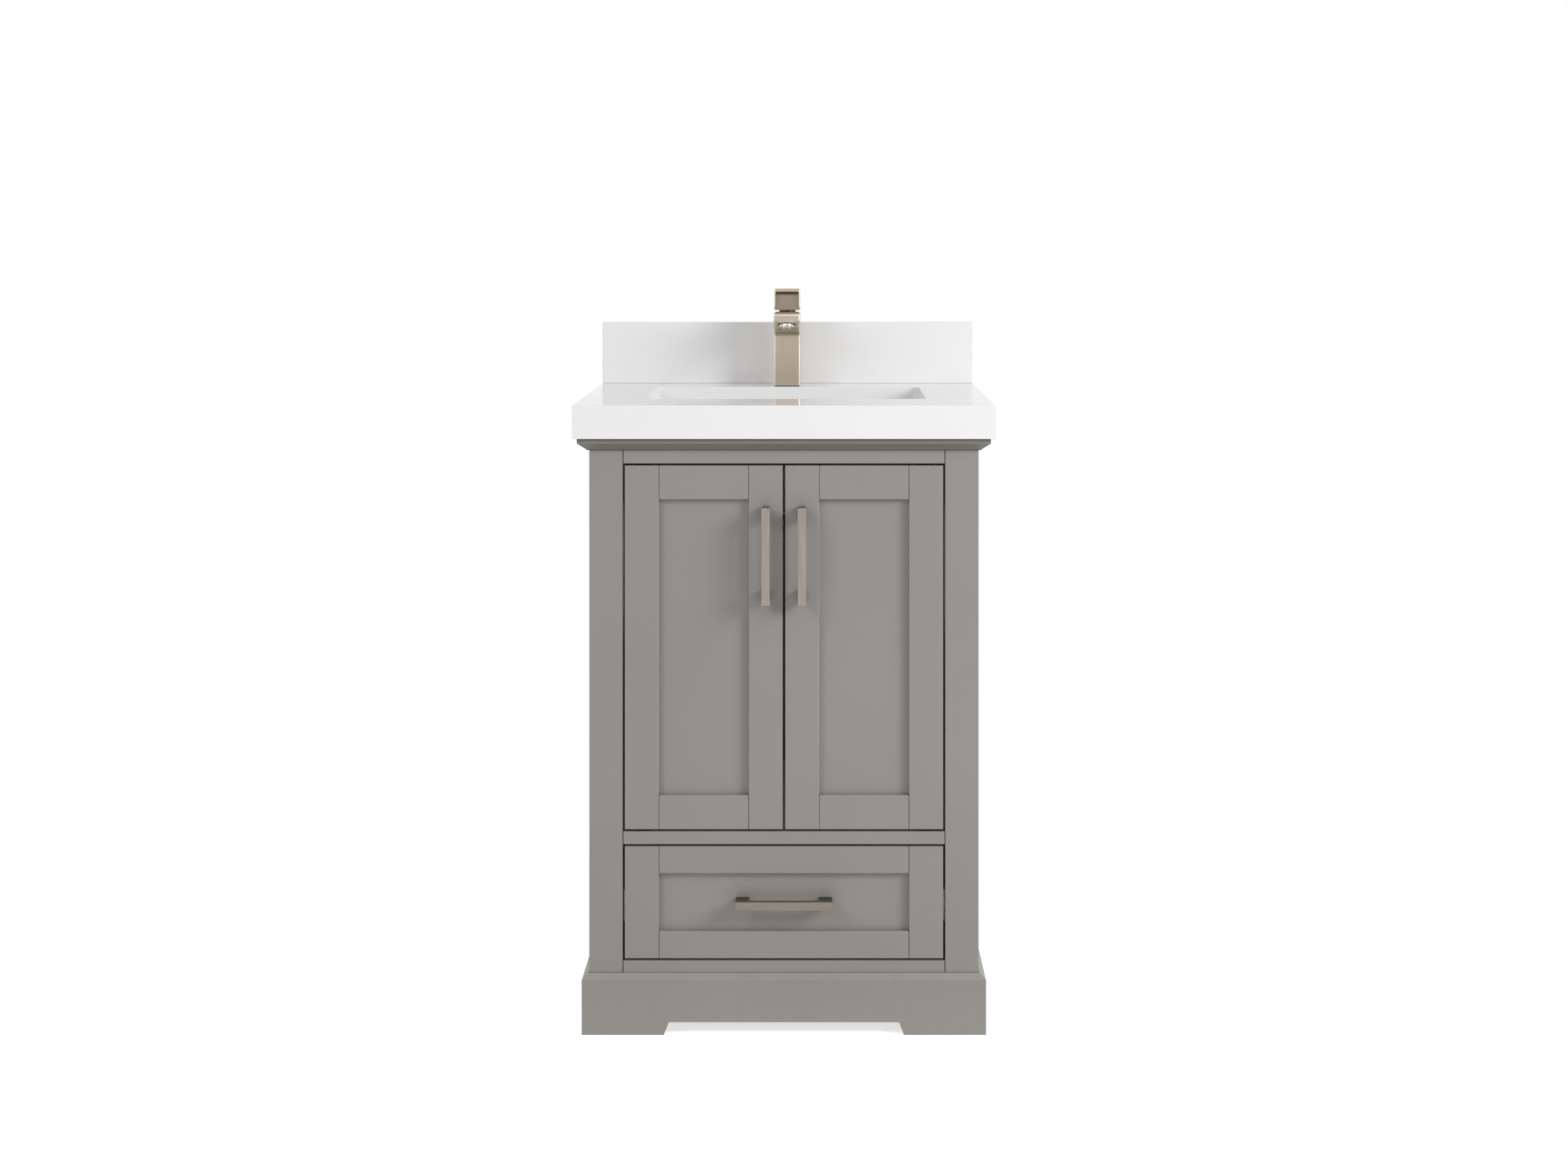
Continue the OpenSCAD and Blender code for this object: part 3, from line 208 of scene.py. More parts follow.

# Marks on the edges: where a mark is positive, the colour goes towards a pale one, which is wear and a
# painted highlight. Where it is negative, it goes towards a dark one, which is painted shade in joints, gaps,
# crevices and hollows.
arris_wear_and_shade, worn_in, worn_out = start_group(
    "arris_wear_and_shade",
    {"Vector": "Vector", "Color": "Color", "Worn Color": "Color", "Amount": "Float", "Grime Color": "Color"},
    {"Color": "Color"},
)
on_arris = add_node(arris_wear_and_shade, "ShaderNodeAttribute", attribute_name="arris").outputs["Fac"]
patches = stretched(arris_wear_and_shade, noise(arris_wear_and_shade, worn_in["Vector"], 45.0, 3.0), 0.1, 0.5)
outer = calculate(arris_wear_and_shade, "MAXIMUM", on_arris, 0.0)
worn_and_lit = calculate(
    arris_wear_and_shade, "MULTIPLY", calculate(arris_wear_and_shade, "MULTIPLY", outer, patches), worn_in["Amount"]
)
inner = calculate(arris_wear_and_shade, "MAXIMUM", calculate(arris_wear_and_shade, "MULTIPLY", on_arris, -1.0), 0.0)
rubbed_and_lit_coat = mix_colours(arris_wear_and_shade, worn_and_lit, worn_in["Color"], worn_in["Worn Color"])
fill_sockets(arris_wear_and_shade, worn_out, {
    "Color": mix_colours(arris_wear_and_shade, inner, rubbed_and_lit_coat, worn_in["Grime Color"]),
})


def start_material(name, scale=(1, 1, 1)):
    """A new material, its tree, and the Object coordinates of the piece, scaled along each axis."""
    material = bpy.data.materials.new(name)
    material.use_nodes = True
    tree = material.node_tree
    place = add_node(tree, "ShaderNodeTexCoord").outputs["Object"]
    return material, tree, add_node(tree, "ShaderNodeMapping", Vector=place, Scale=scale).outputs["Vector"]


def finish_material(tree, height=None, depth=0.0, **sockets):
    """Fills the material's shader, and presses a height from 0 to 1 into its surface to the given depth."""
    if height is not None:
        bump = add_node(tree, "ShaderNodeBump", Strength=1.0, Distance=depth, Height=height)
        sockets["Normal"] = bump.outputs["Normal"]
    fill_sockets(tree, tree.nodes["Principled BSDF"], sockets)


def gloss(tree, vector, scale, smooth, dull):
    """Roughness that wanders between a smooth and a dull value, as handling and cleaning leave it."""
    return add_node(
        tree, "ShaderNodeGroup", node_tree=handled_gloss, Vector=vector, Scale=scale, Smooth=smooth, Dull=dull
    ).outputs["Roughness"]


def sprayed_paint():
    """Satin paint: slow drifts of tone, arrises paler from wear and a painted highlight, painted
    shade in joints, gaps and crevices, and the fine orange peel of a spray gun.
    """
    material, tree, place = start_material("satin_grey_paint")
    drift = stretched(tree, noise(tree, place, 3.5, 2.0), 0.3, 0.7)
    coat = mix_colours(tree, drift, paint_grey, paint_grey_deep)
    shade = add_node(
        tree, "ShaderNodeGroup", node_tree=arris_wear_and_shade, Vector=place,
        Color=coat, Worn_Color=paint_worn_highlight, Amount=0.8, Grime_Color=paint_shade,
    ).outputs["Color"]
    finish_material(
        tree, noise(tree, place, 1100.0, 1.0), 0.012 * MM,
        Base_Color=shade, Roughness=gloss(tree, place, 6.0, 0.40, 0.45),
    )
    return material


def corners_of(node):
    """The lowest and highest corner of a node, as arrays."""
    low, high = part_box(node)
    return np.array(low), np.array(high)


def softened(corners, radii, steps=3, wear_and_shade=1.0):
    """An outline with round corners. Each arc runs between the points where a circle of the corner's
    radius touches its two sides; its points are the two end radii blended by sines, so that they turn
    evenly. Also returns each point's way outward, as long as it can be drawn in before its corner
    closes, and the marks of the small arcs: wear and painted highlight where positive, painted
    shade where negative."""
    corner = np.asarray(corners, float)
    radius = np.broadcast_to(np.asarray(radii, float), len(corner))[:, None]
    back, ahead = np.roll(corner, 1, 0) - corner, np.roll(corner, -1, 0) - corner
    back /= np.linalg.norm(back, axis=1, keepdims=True)
    ahead /= np.linalg.norm(ahead, axis=1, keepdims=True)
    half = np.arccos(np.clip((back * ahead).sum(1, keepdims=True), -1, 1)) / 2
    inward = (back + ahead) / np.linalg.norm(back + ahead, axis=1, keepdims=True)
    centre = corner + inward * radius / np.sin(half)
    first = corner + back * radius / np.tan(half) - centre
    last = corner + ahead * radius / np.tan(half) - centre
    sweep = (np.pi - 2 * half)[:, :, None]
    part = np.linspace(0, 1, steps + 1)[None, :, None]
    spoke = np.sin((1 - part) * sweep) * first[:, None] + np.sin(part * sweep) * last[:, None]
    spoke /= np.sin(sweep)
    next_corner = np.roll(corner, -1, 0)
    area = (corner[:, 0] * next_corner[:, 1] - corner[:, 1] * next_corner[:, 0]).sum()
    bend = np.sign((ahead[:, 0] * back[:, 1] - ahead[:, 1] * back[:, 0]) * area)
    outward = spoke * np.where(bend > 0, 1, -1 / radius[:, 0])[:, None, None]
    small = (radius < marked_arc_r) & (np.arange(steps + 1) % steps > 0)[None]
    marks = small * np.broadcast_to(np.asarray(wear_and_shade, float), len(corner))[:, None]
    return (centre[:, None] + spoke).reshape(-1, 2), outward.reshape(-1, 2), marks.ravel()


def ring_quads(count, size):
    """The four-sided faces between each ring of a (count, size) grid of points and the next one."""
    here = np.arange(size)
    there = np.roll(here, -1)
    start = np.arange(count - 1)[:, None] * size
    lower = [start + here, start + there]
    return np.stack([*lower, start + size + there, start + size + here], -1).reshape(-1, 4)


def end_caps(count, size):
    """The flat faces on the first and the last ring of a (count, size) grid of points."""
    ring = np.arange(size)[None]
    return [ring, (count - 1) * size + ring]


def rounded_over(ease, turn):
    """How far the points of a rounded edge are drawn in, and how far they lie from the end: at angle a
    of the quarter turn these are ease * (1 - cos a) and ease * (1 - sin a)."""
    return ease * (1 - np.cos(turn)), ease * (1 - np.sin(turn))


def prism(outline, low, high, ease, steps=3, wear_and_shade=1.0):
    """An outline carried from low to high, with both ends rounded over and closed by flat caps."""
    points, outward, marks = outline
    drawn, gap = rounded_over(ease, np.radians(np.linspace(90, 0, steps + 1)))
    inset = np.concatenate([drawn, drawn[::-1]])[:, None, None]
    place = np.concatenate([low + gap, (high - gap)[::-1]])
    room = np.linalg.norm(outward, axis=1, keepdims=True)
    rings = points - np.minimum(inset, room) * outward / room
    count, size = 2 * (steps + 1), len(points)
    solid = np.concatenate([rings, np.broadcast_to(place[:, None, None], (count, size, 1))], 2)
    on_edge = np.arange(steps + 1) % steps > 0
    arris = np.where(np.concatenate([on_edge, on_edge])[:, None], wear_and_shade, marks[None])
    arris[[0, -1]] = 0
    return solid.reshape(-1, 3), [ring_quads(count, size), *end_caps(count, size)], arris.ravel()


def turned(shell, axes):
    """The same shell with its first, second and third directions laid along the given axes."""
    points, faces, arris = shell
    laid = np.empty_like(points)
    laid[:, list(axes)] = points
    return laid, faces, arris


def board(low, high, ease=arris_r, end_wear_and_shade=1.0, wear_and_shade=1.0):
    """A board with every edge rounded: its cross-section is carried along its longest side. Its long
    edges take their marks, wear and painted highlight where positive and painted shade where
    negative, in the order low-low, high-low, high-high, low-high of the other two axes."""
    along = int(np.argmax(high - low))
    u, v = [axis for axis in range(3) if axis != along]
    corners = [[low[u], low[v]], [high[u], low[v]], [high[u], high[v]], [low[u], high[v]]]
    section = softened(corners, ease, wear_and_shade=wear_and_shade)
    return turned(prism(section, low[along], high[along], ease, wear_and_shade=end_wear_and_shade), (u, v, along))


merge_within, level_within, sharp_over = 0.001 * MM, 0.01 * MM, math.radians(40)


def make_piece(name, material, shells, fill_levels=()):
    """One closed mesh from shells of points, faces and arris marks. Doubled points are merged, open
    edges at the given heights are filled flat, and the large faces rule the shading of the arcs."""
    starts = np.cumsum([0] + [len(points) for points, _, _ in shells])
    faces = [
        face for (_, blocks, _), start in zip(shells, starts)
        for block in blocks for face in (block + start).tolist()
    ]
    mesh = bpy.data.meshes.new(name)
    mesh.from_pydata(np.concatenate([points for points, _, _ in shells]).tolist(), [], faces)
    mark = mesh.attributes.new("arris", "FLOAT", "POINT")
    mark.data.foreach_set("value", np.concatenate([arris for _, _, arris in shells]).astype(np.float32))
    work = bmesh.new()
    work.from_mesh(mesh)
    bmesh.ops.remove_doubles(work, verts=work.verts, dist=merge_within)
    for level in fill_levels:
        rim = [
            edge for edge in work.edges
            if edge.is_boundary and max(abs(end.co.z - level) for end in edge.verts) < level_within
        ]
        bmesh.ops.triangle_fill(work, edges=rim, use_beauty=True)
    bmesh.ops.recalc_face_normals(work, faces=work.faces)
    work.to_mesh(mesh)
    work.free()
    mesh.polygons.foreach_set("use_smooth", np.ones(len(mesh.polygons), bool))
    mesh.set_sharp_from_angle(angle=sharp_over)
    mesh.materials.append(material)
    piece = bpy.data.objects.new(name, mesh)
    scene.collection.objects.link(piece)
    even = piece.modifiers.new("even_faces", "WEIGHTED_NORMAL")
    even.keep_sharp = True
    return piece


def fit(piece, body, slot, *nodes):
    """Fixes a piece to a body in place of the plain nodes, which it hides. The slot is not used."""
    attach(piece, body)
    if nodes:
        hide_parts(*nodes)


def finish_nodes(material, *names):
    """Gives the finish to pieces whose own shape is already complete."""
    for name in names:
        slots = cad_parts[name].data.materials
        slots.clear()
        slots.append(material)


paint = sprayed_paint()
finish_nodes(paint, "side_panel_left", "side_panel_right")
for side, wear_and_shade in (("left", [1, joint_and_gap_shade, 1, 1]), ("right", [joint_and_gap_shade, 1, 1, 1])):
    stile = make_piece(f"painted_stile_{side}", paint, [board(*corners_of(f"stile_{side}"), wear_and_shade=wear_and_shade)])
    fit(stile, "cabinet", "grey_paint", f"stile_{side}")
for level, foot_wear_and_shade, head_wear_and_shade in (
    ("top", joint_and_gap_shade, 1), ("middle", joint_and_gap_shade, joint_and_gap_shade), ("bottom", 1, joint_and_gap_shade),
):
    low, high = corners_of(f"{level}_rail")
    low[0] = corners_of("stile_left")[1][0] + joint_gap
    high[0] = corners_of("stile_right")[0][0] - joint_gap
    rail_board = board(
        low + [0, 0, let_in], high - [0, 0, let_in], end_wear_and_shade=joint_and_gap_shade, wear_and_shade=[foot_wear_and_shade, 1, 1, head_wear_and_shade],
    )
    rail = make_piece(f"painted_{level}_rail", paint, [rail_board])
    fit(rail, "cabinet", "grey_paint", f"{level}_rail")


# ---- Cornice and plinth ----
# Solid wood mouldings, mitred at the front corners and pinned to the frame and the sides. The
# cornice tucks up under the counter, and the plinth is cut away between its feet.
moulding_r = 0.8 * MM
foot_width, foot_slant, foot_height = 118.5 * MM, 7.3 * MM, 18.5 * MM
cornice_face, cornice_slope, cornice_ledge = 7 * MM, 9.5 * MM, 3.5 * MM
plinth_slope, plinth_flat = 8 * MM, 1 * MM
frame_low = corners_of("stile_left")[0]
side_x, face_y = -frame_low[0], frame_low[1]


def mitred_run(section, first, last, feet=None):
    """A moulding as distance along its run, distance out and height: every point of the section goes
    from first to last, which change with the distance out where the end is mitred. Between the feet
    the sole is lifted."""
    points, _, small = section
    out, height = points.T
    stations, lifts = [first(out)], [0.0]
    if feet is not None:
        edge = np.array([foot_width, foot_width + foot_slant])
        stations += [np.full_like(out, feet[0] + edge[0]), np.full_like(out, feet[0] + edge[1])]
        stations += [np.full_like(out, feet[1] - edge[1]), np.full_like(out, feet[1] - edge[0])]
        lifts += [0.0, foot_height, foot_height, 0.0]
    stations.append(last(out))
    lifts.append(0.0)
    sole = height < height.min() + 2 * moulding_r
    levels = height + np.array(lifts)[:, None] * sole
    count, size = len(stations), len(out)
    run = np.stack([np.stack(stations), np.broadcast_to(out, (count, size)), levels], -1)
    return run.reshape(-1, 3), [ring_quads(count, size), *end_caps(count, size)], np.tile(small, count)


def laid(shell, place):
    """The shell with every point put where place sends its three coordinates."""
    points, faces, arris = shell
    return np.stack(place(*points.T), 1), faces, arris


def add_surround(finish_name, name, finish, slot, section, back_y, foot_reach=None):
    """A mitred length along the front and one along each side as far as back_y, with feet at the ends
    of each where foot_reach gives how far out they stand."""
    front_feet = side_feet = None
    if foot_reach is not None:
        front_feet, side_feet = (-side_x - foot_reach, side_x + foot_reach), (face_y - foot_reach, back_y)
    length = mitred_run(section, lambda out: -side_x - out, lambda out: side_x + out, front_feet)
    front = laid(length, lambda run, out, height: (run, face_y - out, height))
    length = mitred_run(section, lambda out: face_y - out, lambda out: np.full_like(out, back_y), side_feet)
    left = laid(length, lambda run, out, height: (-side_x - out, run, height))
    right = laid(left, lambda x, y, z: (-x, y, z))
    for part, shells in (("front", [front]), ("sides", [left, right])):
        piece = make_piece(f"{finish_name}_{name}_{part}", finish, shells)
        fit(piece, "cabinet", slot, f"{name}_{part}")


cornice_low, cornice_high = corners_of("cornice_front")
cornice_out = face_y - cornice_low[1]
slope_top, top = cornice_high[2] - cornice_face, cornice_high[2]
cornice_section = softened(
    [
        [0, cornice_low[2]], [cornice_ledge, cornice_low[2]], [cornice_ledge, slope_top - cornice_slope],
        [cornice_out, slope_top], [cornice_out, top], [0, top],
    ],
    [0.1 * MM, 0.4 * MM, 0.3 * MM, moulding_r, moulding_r, 0.1 * MM],
)
# Painted shade: the cornice is darkened under the counter, most along its foot and the top of its upright
# face, and less over its slope.
cornice_shade = [1, 1, 1, 0.8, 0.8, 0.8, 0.5, 0.35, 0.35, 0.3, 0.3, 0.25, 0.6, 0.9, 0.9, 0.9]
past_back = 4
cornice_section[2][past_back:past_back + len(cornice_shade)] = -np.array(cornice_shade)
add_surround(
    "painted", "cornice", paint, "grey_paint", cornice_section, corners_of("cornice_sides")[1][1],
)
plinth_low, plinth_high = corners_of("plinth_front")
plinth_out, plinth_top = face_y - plinth_low[1], plinth_high[2]
plinth_section = softened(
    [
        [0, 0], [plinth_out, 0], [plinth_out, plinth_top - plinth_slope], [plinth_flat, plinth_top],
        [0, plinth_top],
    ],
    [0.1 * MM, moulding_r, 2.5 * MM, 1.5 * MM, 0.1 * MM],
)
# Painted light and shade: the plinth's face and upward slope are lightened, most near the top of the slope,
# and its flat top against the bottom rail is darkened into a dark line.
plinth_light = [0.25, 0.25, 0.25, 0.25, 0, 0.2, 0.3, 0.4, 0.4]
plinth_shade = [-0.85] * 6
plinth_section[2][past_back:past_back + len(plinth_light + plinth_shade)] = plinth_light + plinth_shade
add_surround(
    "painted", "plinth", paint, "grey_paint", plinth_section, corners_of("plinth_sides")[1][1], plinth_out,
)


# ---- Inside the carcass ----
# Birch plywood under clear lacquer: the floor and deck are housed in the sides, the back is
# rebated in, and the rail and corner blocks that carry the counter are glued and screwed.
birch_pale, birch_dark = (0.62, 0.47, 0.31, 1), (0.50, 0.355, 0.215, 1)

wood_grain, grain_in, grain_out = start_group(
    "wood_grain", {"Vector": "Vector"}, {"Figure": "Float", "Pores": "Float"}
)
figure = noise(wood_grain, grain_in["Vector"], 1.0, 3.0, 1.4)
fibres = noise(wood_grain, grain_in["Vector"], 14.0, 2.0)
fill_sockets(wood_grain, grain_out, {
    "Figure": stretched(wood_grain, figure, 0.32, 0.68), "Pores": stretched(wood_grain, fibres, 0.45, 0.75),
})


def lacquered_birch(name, stretch):
    """Clear lacquer over birch whose grain runs along the axis that is stretched least."""
    material, tree, place = start_material(name, stretch)
    grain = add_node(tree, "ShaderNodeGroup", node_tree=wood_grain, Vector=place).outputs
    broad = calculate(tree, "MULTIPLY", grain["Figure"], 0.65)
    tone = calculate(tree, "MULTIPLY_ADD", grain["Pores"], 0.35, broad)
    finish_material(
        tree, grain["Pores"], 0.03 * MM,
        Base_Color=mix_colours(tree, tone, birch_pale, birch_dark),
        Roughness=gloss(tree, place, 2.0, 0.38, 0.5), Coat_Weight=0.15,
    )
    return material


ply_across = lacquered_birch("birch_plywood", (5, 60, 60))
finish_nodes(ply_across, "cabinet_floor", "drawer_deck", "wall_rail", "corner_blocks")
finish_nodes(lacquered_birch("birch_plywood_upright", (60, 60, 5)), "back_panel")
finish_nodes(lacquered_birch("birch_plywood_deep", (60, 5, 60)), "slide_cleats")


# ---- Counter ----
# Polished white quartz, 20 mm thick. The slab and its aprons are mitred at 45 degrees along the
# front and sides, so the edge reads as one thick block, and the backsplash stands on the slab.
counter_edge_r = 1.6 * MM
apron_edge_r = 1.0 * MM
cut_edge_r = 1.5 * MM
stone_white, stone_grain = (0.825, 0.825, 0.83, 1), (0.785, 0.785, 0.795, 1)


def polished_quartz():
    """Engineered stone: near-white, faintly clouded and speckled, under a mirror polish."""
    material, tree, place = start_material("polished_quartz")
    clouds = stretched(tree, noise(tree, place, 9.0, 4.0), 0.3, 0.75)
    specks = stretched(tree, noise(tree, place, 420.0, 1.0), 0.62, 0.78)
    mottle = calculate(tree, "MULTIPLY_ADD", specks, 0.55, calculate(tree, "MULTIPLY", clouds, 0.3))
    finish_material(
        tree, noise(tree, place, 160.0, 1.0), 0.002 * MM,
        Base_Color=mix_colours(tree, mottle, stone_white, stone_grain),
        Roughness=gloss(tree, place, 6.0, 0.07, 0.13),
    )
    return material


def four_corners(half_x, y_low, y_high):
    """The corners of a rectangle centred across the vanity, in order round it."""
    return [[-half_x, y_low], [half_x, y_low], [half_x, y_high], [-half_x, y_high]]


def level_ring(half_x, half_y, radius, z, steps=8, centre_y=0.0):
    """A rectangle with round corners, flat at one height."""
    flat = softened(four_corners(half_x, centre_y - half_y, centre_y + half_y), radius, steps)[0]
    return np.column_stack([flat, np.full(len(flat), z)])


def round_hole(radius, z, centre_y, steps=8):
    """The ring of a round hole, whose four arcs stop just short of each other."""
    return level_ring(radius, radius, radius * 0.999, z, steps, centre_y)


def loft(rings, marks=0.0):
    """Rings of equally many points joined in order, with one arris mark for each ring."""
    count, size = len(rings), len(rings[0])
    return np.concatenate(rings), [ring_quads(count, size)], np.repeat(np.broadcast_to(marks, count), size)


quartz = polished_quartz()
slab_low, slab_high = corners_of("countertop")
basin_low, basin_high = corners_of("basin")
tap_low, tap_high = corners_of("tap_body")
counter_x, counter_front, wall_y = slab_high[0], slab_low[1], slab_high[1]
slab_z, surface_z = slab_low[2], slab_high[2]
stone_t = surface_z - slab_z
bowl_half, cut_corner = np.array([211.5, 146.5]) * MM, 14 * MM
basin_y = (basin_low[1] + basin_high[1]) / 2
column_half, tap_hole_r = 22 * MM, 17.5 * MM
tap_y = tap_high[1] - column_half


def slab_ring(draw_in, z):
    """The slab's edge drawn in by some distance at the front and the sides, but not at the wall."""
    flat = softened(four_corners(counter_x - draw_in, counter_front + draw_in, wall_y), counter_edge_r)[0]
    return np.column_stack([flat, np.full(len(flat), z)])


upper_arc = np.radians([90, 70, 45])
slab_edge = loft(
    [
        slab_ring(drawn, surface_z - gap)
        for drawn, gap in zip(*rounded_over(counter_edge_r, upper_arc))
    ] + [slab_ring(stone_t, slab_z)],
    [0, 1, 0, 0],
)
cut_arc = np.radians([90, 60, 30, 0])
cut_wall = loft(
    [
        level_ring(*bowl_half + drawn, cut_corner + drawn, surface_z - gap, centre_y=basin_y)
        for drawn, gap in zip(*rounded_over(cut_edge_r, cut_arc))
    ] + [level_ring(*bowl_half, cut_corner, slab_z, centre_y=basin_y)],
    [0, 1, 1, 0, 0],
)
hole_wall = loft([round_hole(tap_hole_r, z, tap_y) for z in (surface_z, slab_z)])
slab = make_piece("quartz_slab", quartz, [slab_edge, cut_wall, hole_wall], fill_levels=(surface_z, slab_z))
fit(slab, "cabinet", "quartz", "countertop")

apron_low = corners_of("apron_front")[0]
counter_over = face_y - counter_front
lower_arc = np.radians([0, 22, 45])
apron_inner = counter_over - stone_t
apron_box = softened(
    [
        [apron_inner, apron_low[2]], [counter_over, apron_low[2]],
        [counter_over, surface_z], [apron_inner, surface_z],
    ], apron_edge_r,
)[0]
front_arris = slice(4, 8)
drawn, gap = rounded_over(counter_edge_r, lower_arc)
apron_section = np.concatenate([
    [[apron_inner, apron_low[2]]], apron_box[front_arris],
    np.column_stack([counter_over - drawn, surface_z - gap]), [[apron_inner, slab_z]],
])
apron_marks = np.array([0, 0, 1, 1, 0, 0, 1, 0, 0.0])
add_surround("quartz", "apron", quartz, "quartz", (apron_section, None, apron_marks), wall_y)

backsplash = make_piece("quartz_backsplash", quartz, [board(*corners_of("backsplash"), ease=1.2 * MM)])
fit(backsplash, "cabinet", "quartz", "backsplash")


# ---- Basin ----
# Glazed vitreous china, cast in one piece and clipped under the counter. Its walls lean in a
# little, its floor falls to the drain, and its rim is a flat flange that the stone lies on.
china_white, china_pool = (0.89, 0.89, 0.885, 1), (0.86, 0.865, 0.86, 1)
bowl_r, floor_r, bowl_draft = 36 * MM, 30 * MM, 8 * MM
china_t, rim_w, rim_t, rim_ease = 9 * MM, 18 * MM, 12 * MM, 2.5 * MM
drain_hole_r = 22 * MM
floor_z, floor_fall = basin_low[2] + china_t, 3 * MM


def clouded_finish(name, clouds, colours, relief, depth, handled, **sockets):
    """A finish that drifts between two colours in soft clouds (their scale and detail, and the noise that
    counts as none and as full), with a fine relief (its scale and detail) and a handled gloss (its
    scale, and the roughness where it is smooth and where it is dull)."""
    material, tree, place = start_material(name)
    drift = stretched(tree, noise(tree, place, *clouds[:2]), *clouds[2:])
    finish_material(
        tree, noise(tree, place, *relief), depth, Base_Color=mix_colours(tree, drift, *colours),
        Roughness=gloss(tree, place, *handled), **sockets,
    )
    return material


def bowl_ring(grow, radius, z):
    """The bowl's opening grown by some distance, with corners of a given radius, at a height."""
    half_x, half_y = bowl_half + grow
    return level_ring(half_x, half_y, radius, z, steps=10, centre_y=basin_y)


def bowl_floor_arc(turns, thick, lift):
    """The rings of the rounded edge of the floor: at angle a below level, the wall stands out by
    (r + thick) cos a and its height falls by (r + thick) sin a."""
    radius, level = floor_r + thick, floor_z + floor_r + lift
    across, fall = radius * np.cos(turns), radius * np.sin(turns)
    return [bowl_ring(a - bowl_draft - floor_r, a, level - f) for a, f in zip(across, fall)]


def falling_floor(edge_ring, hole_ring, parts):
    """Rings between the floor's edge and the drain: each lies a part of the way in plan, and has fallen
    by that part's sine of a quarter turn, so that the floor flattens towards the drain."""
    part = np.asarray(parts)[:, None, None]
    rings = edge_ring + (hole_ring - edge_ring) * part
    rings[:, :, 2] = (edge_ring + (hole_ring - edge_ring) * np.sin(part * np.pi / 2))[:, :, 2]
    return list(rings)


# Thick white glaze: a mirror gloss that sags and pools very slightly.
china = clouded_finish(
    "glazed_china", (7.0, 2.0, 0.3, 0.7), (china_white, china_pool), (24.0, 1.0), 0.08 * MM,
    (10.0, 0.05, 0.09), Coat_Weight=0.5,
)
rim_turns = np.radians([90, 60, 30, 0])
outer_turns, inner_turns = np.radians([80, 60, 40, 20, 0]), np.radians([0, 15, 30, 45, 60, 80])
hole_under, hole_over = (round_hole(drain_hole_r, z, basin_y, steps=10) for z in (basin_low[2], floor_z))
floor_parts = [0.08, 0.18, 0.3, 0.45, 0.6, 0.75, 0.9, 1]
outside = bowl_floor_arc(outer_turns, china_t, 0)
inside = bowl_floor_arc(inner_turns, 0, floor_fall)
rim_low, rim_top = basin_high[2] - rim_t, basin_high[2]
rim_rings = [
    bowl_ring(china_t, bowl_r + china_t, rim_low), bowl_ring(rim_w, bowl_r, rim_low),
    bowl_ring(rim_w, bowl_r, rim_top),
] + [
    bowl_ring(drawn, bowl_r, rim_top - gap) for drawn, gap in zip(*rounded_over(rim_ease, rim_turns))
]
bowl = make_piece("china_basin", china, [loft(
    [hole_over, hole_under] + outside + rim_rings + inside
    + falling_floor(inside[-1], hole_over, floor_parts)
)])
fit(bowl, "cabinet", "vitreous_china", "basin")


# ---- Basin clips ----
# Zinc-plated steel: a plate hooked under the basin's rim, a stud let into the stone and a nut.
steel_tone, steel_spangle = (0.55, 0.56, 0.57, 1), (0.42, 0.44, 0.46, 1)


def zinc_plate(name, tone, spangle):
    """Zinc on steel: cloudy grains of slightly different brightness, half matt."""
    material, tree, place = start_material(name)
    grains = add_node(tree, "ShaderNodeTexVoronoi", Vector=place, Scale=260.0).outputs["Color"]
    finish_material(
        tree, noise(tree, place, 500.0, 2.0), 0.01 * MM,
        Base_Color=mix_colours(tree, grains, tone, spangle),
        Roughness=gloss(tree, place, 60.0, 0.26, 0.42), Metallic=1.0,
    )
    return material


zinc = zinc_plate("zinc_plate", steel_tone, steel_spangle)
finish_nodes(zinc, "basin_clips")


# ---- Drain ----
# Polished nickel on brass. The threaded body drops through the bowl's floor and a rubber ring,
# a hexagon nut draws it tight, and a slip coupling joins it to the tail pipe.
drain_flange_r, drain_r, drain_bore_r = 32 * MM, 20 * MM, 17.5 * MM
thread_pitch, thread_depth = 2.5 * MM, 0.8 * MM
spider_w, spider_sleeve_r, stem_r = 5 * MM, 7 * MM, 4.05 * MM
spider_low, spider_high = floor_z - 32 * MM, floor_z - 26 * MM
nickel_bright, nickel_shade = (0.70, 0.67, 0.62, 1), (0.62, 0.59, 0.54, 1)


def lathed(profile, centre_y, steps=64, closed=False, centre_x=0.0):
    """A profile of radius, height and thread depth carried round an upright axis. On the thread the
    radius is cut back by its depth times a triangle wave of height over pitch plus the turn."""
    radius, height, cut = np.asarray(profile, float).T[:, :, None]
    turn = np.linspace(0, 2 * np.pi, steps, endpoint=False)[None]
    wave = np.abs((height / thread_pitch + turn / (2 * np.pi)) % 1 * 2 - 1)
    reach = radius - cut * wave
    level = np.broadcast_to(height, reach.shape)
    rings = np.stack([centre_x + reach * np.cos(turn), centre_y + reach * np.sin(turn), level], 2)
    quads = ring_quads(len(rings) + closed, steps) % (len(rings) * steps)
    return rings.reshape(-1, 3), [quads], np.zeros(len(rings) * steps)


def threaded(radius, low, high):
    """The profile of a threaded length, plain for the first and the last pitch."""
    levels = np.arange(low, high, thread_pitch / 4)
    cut = thread_depth * ((levels > low + thread_pitch) & (levels < high - thread_pitch))
    return np.column_stack([np.full(len(levels), radius), levels, cut])


def plain_profile(*points):
    """Points of radius and height, with no thread."""
    return np.column_stack([np.array(points), np.zeros(len(points))])


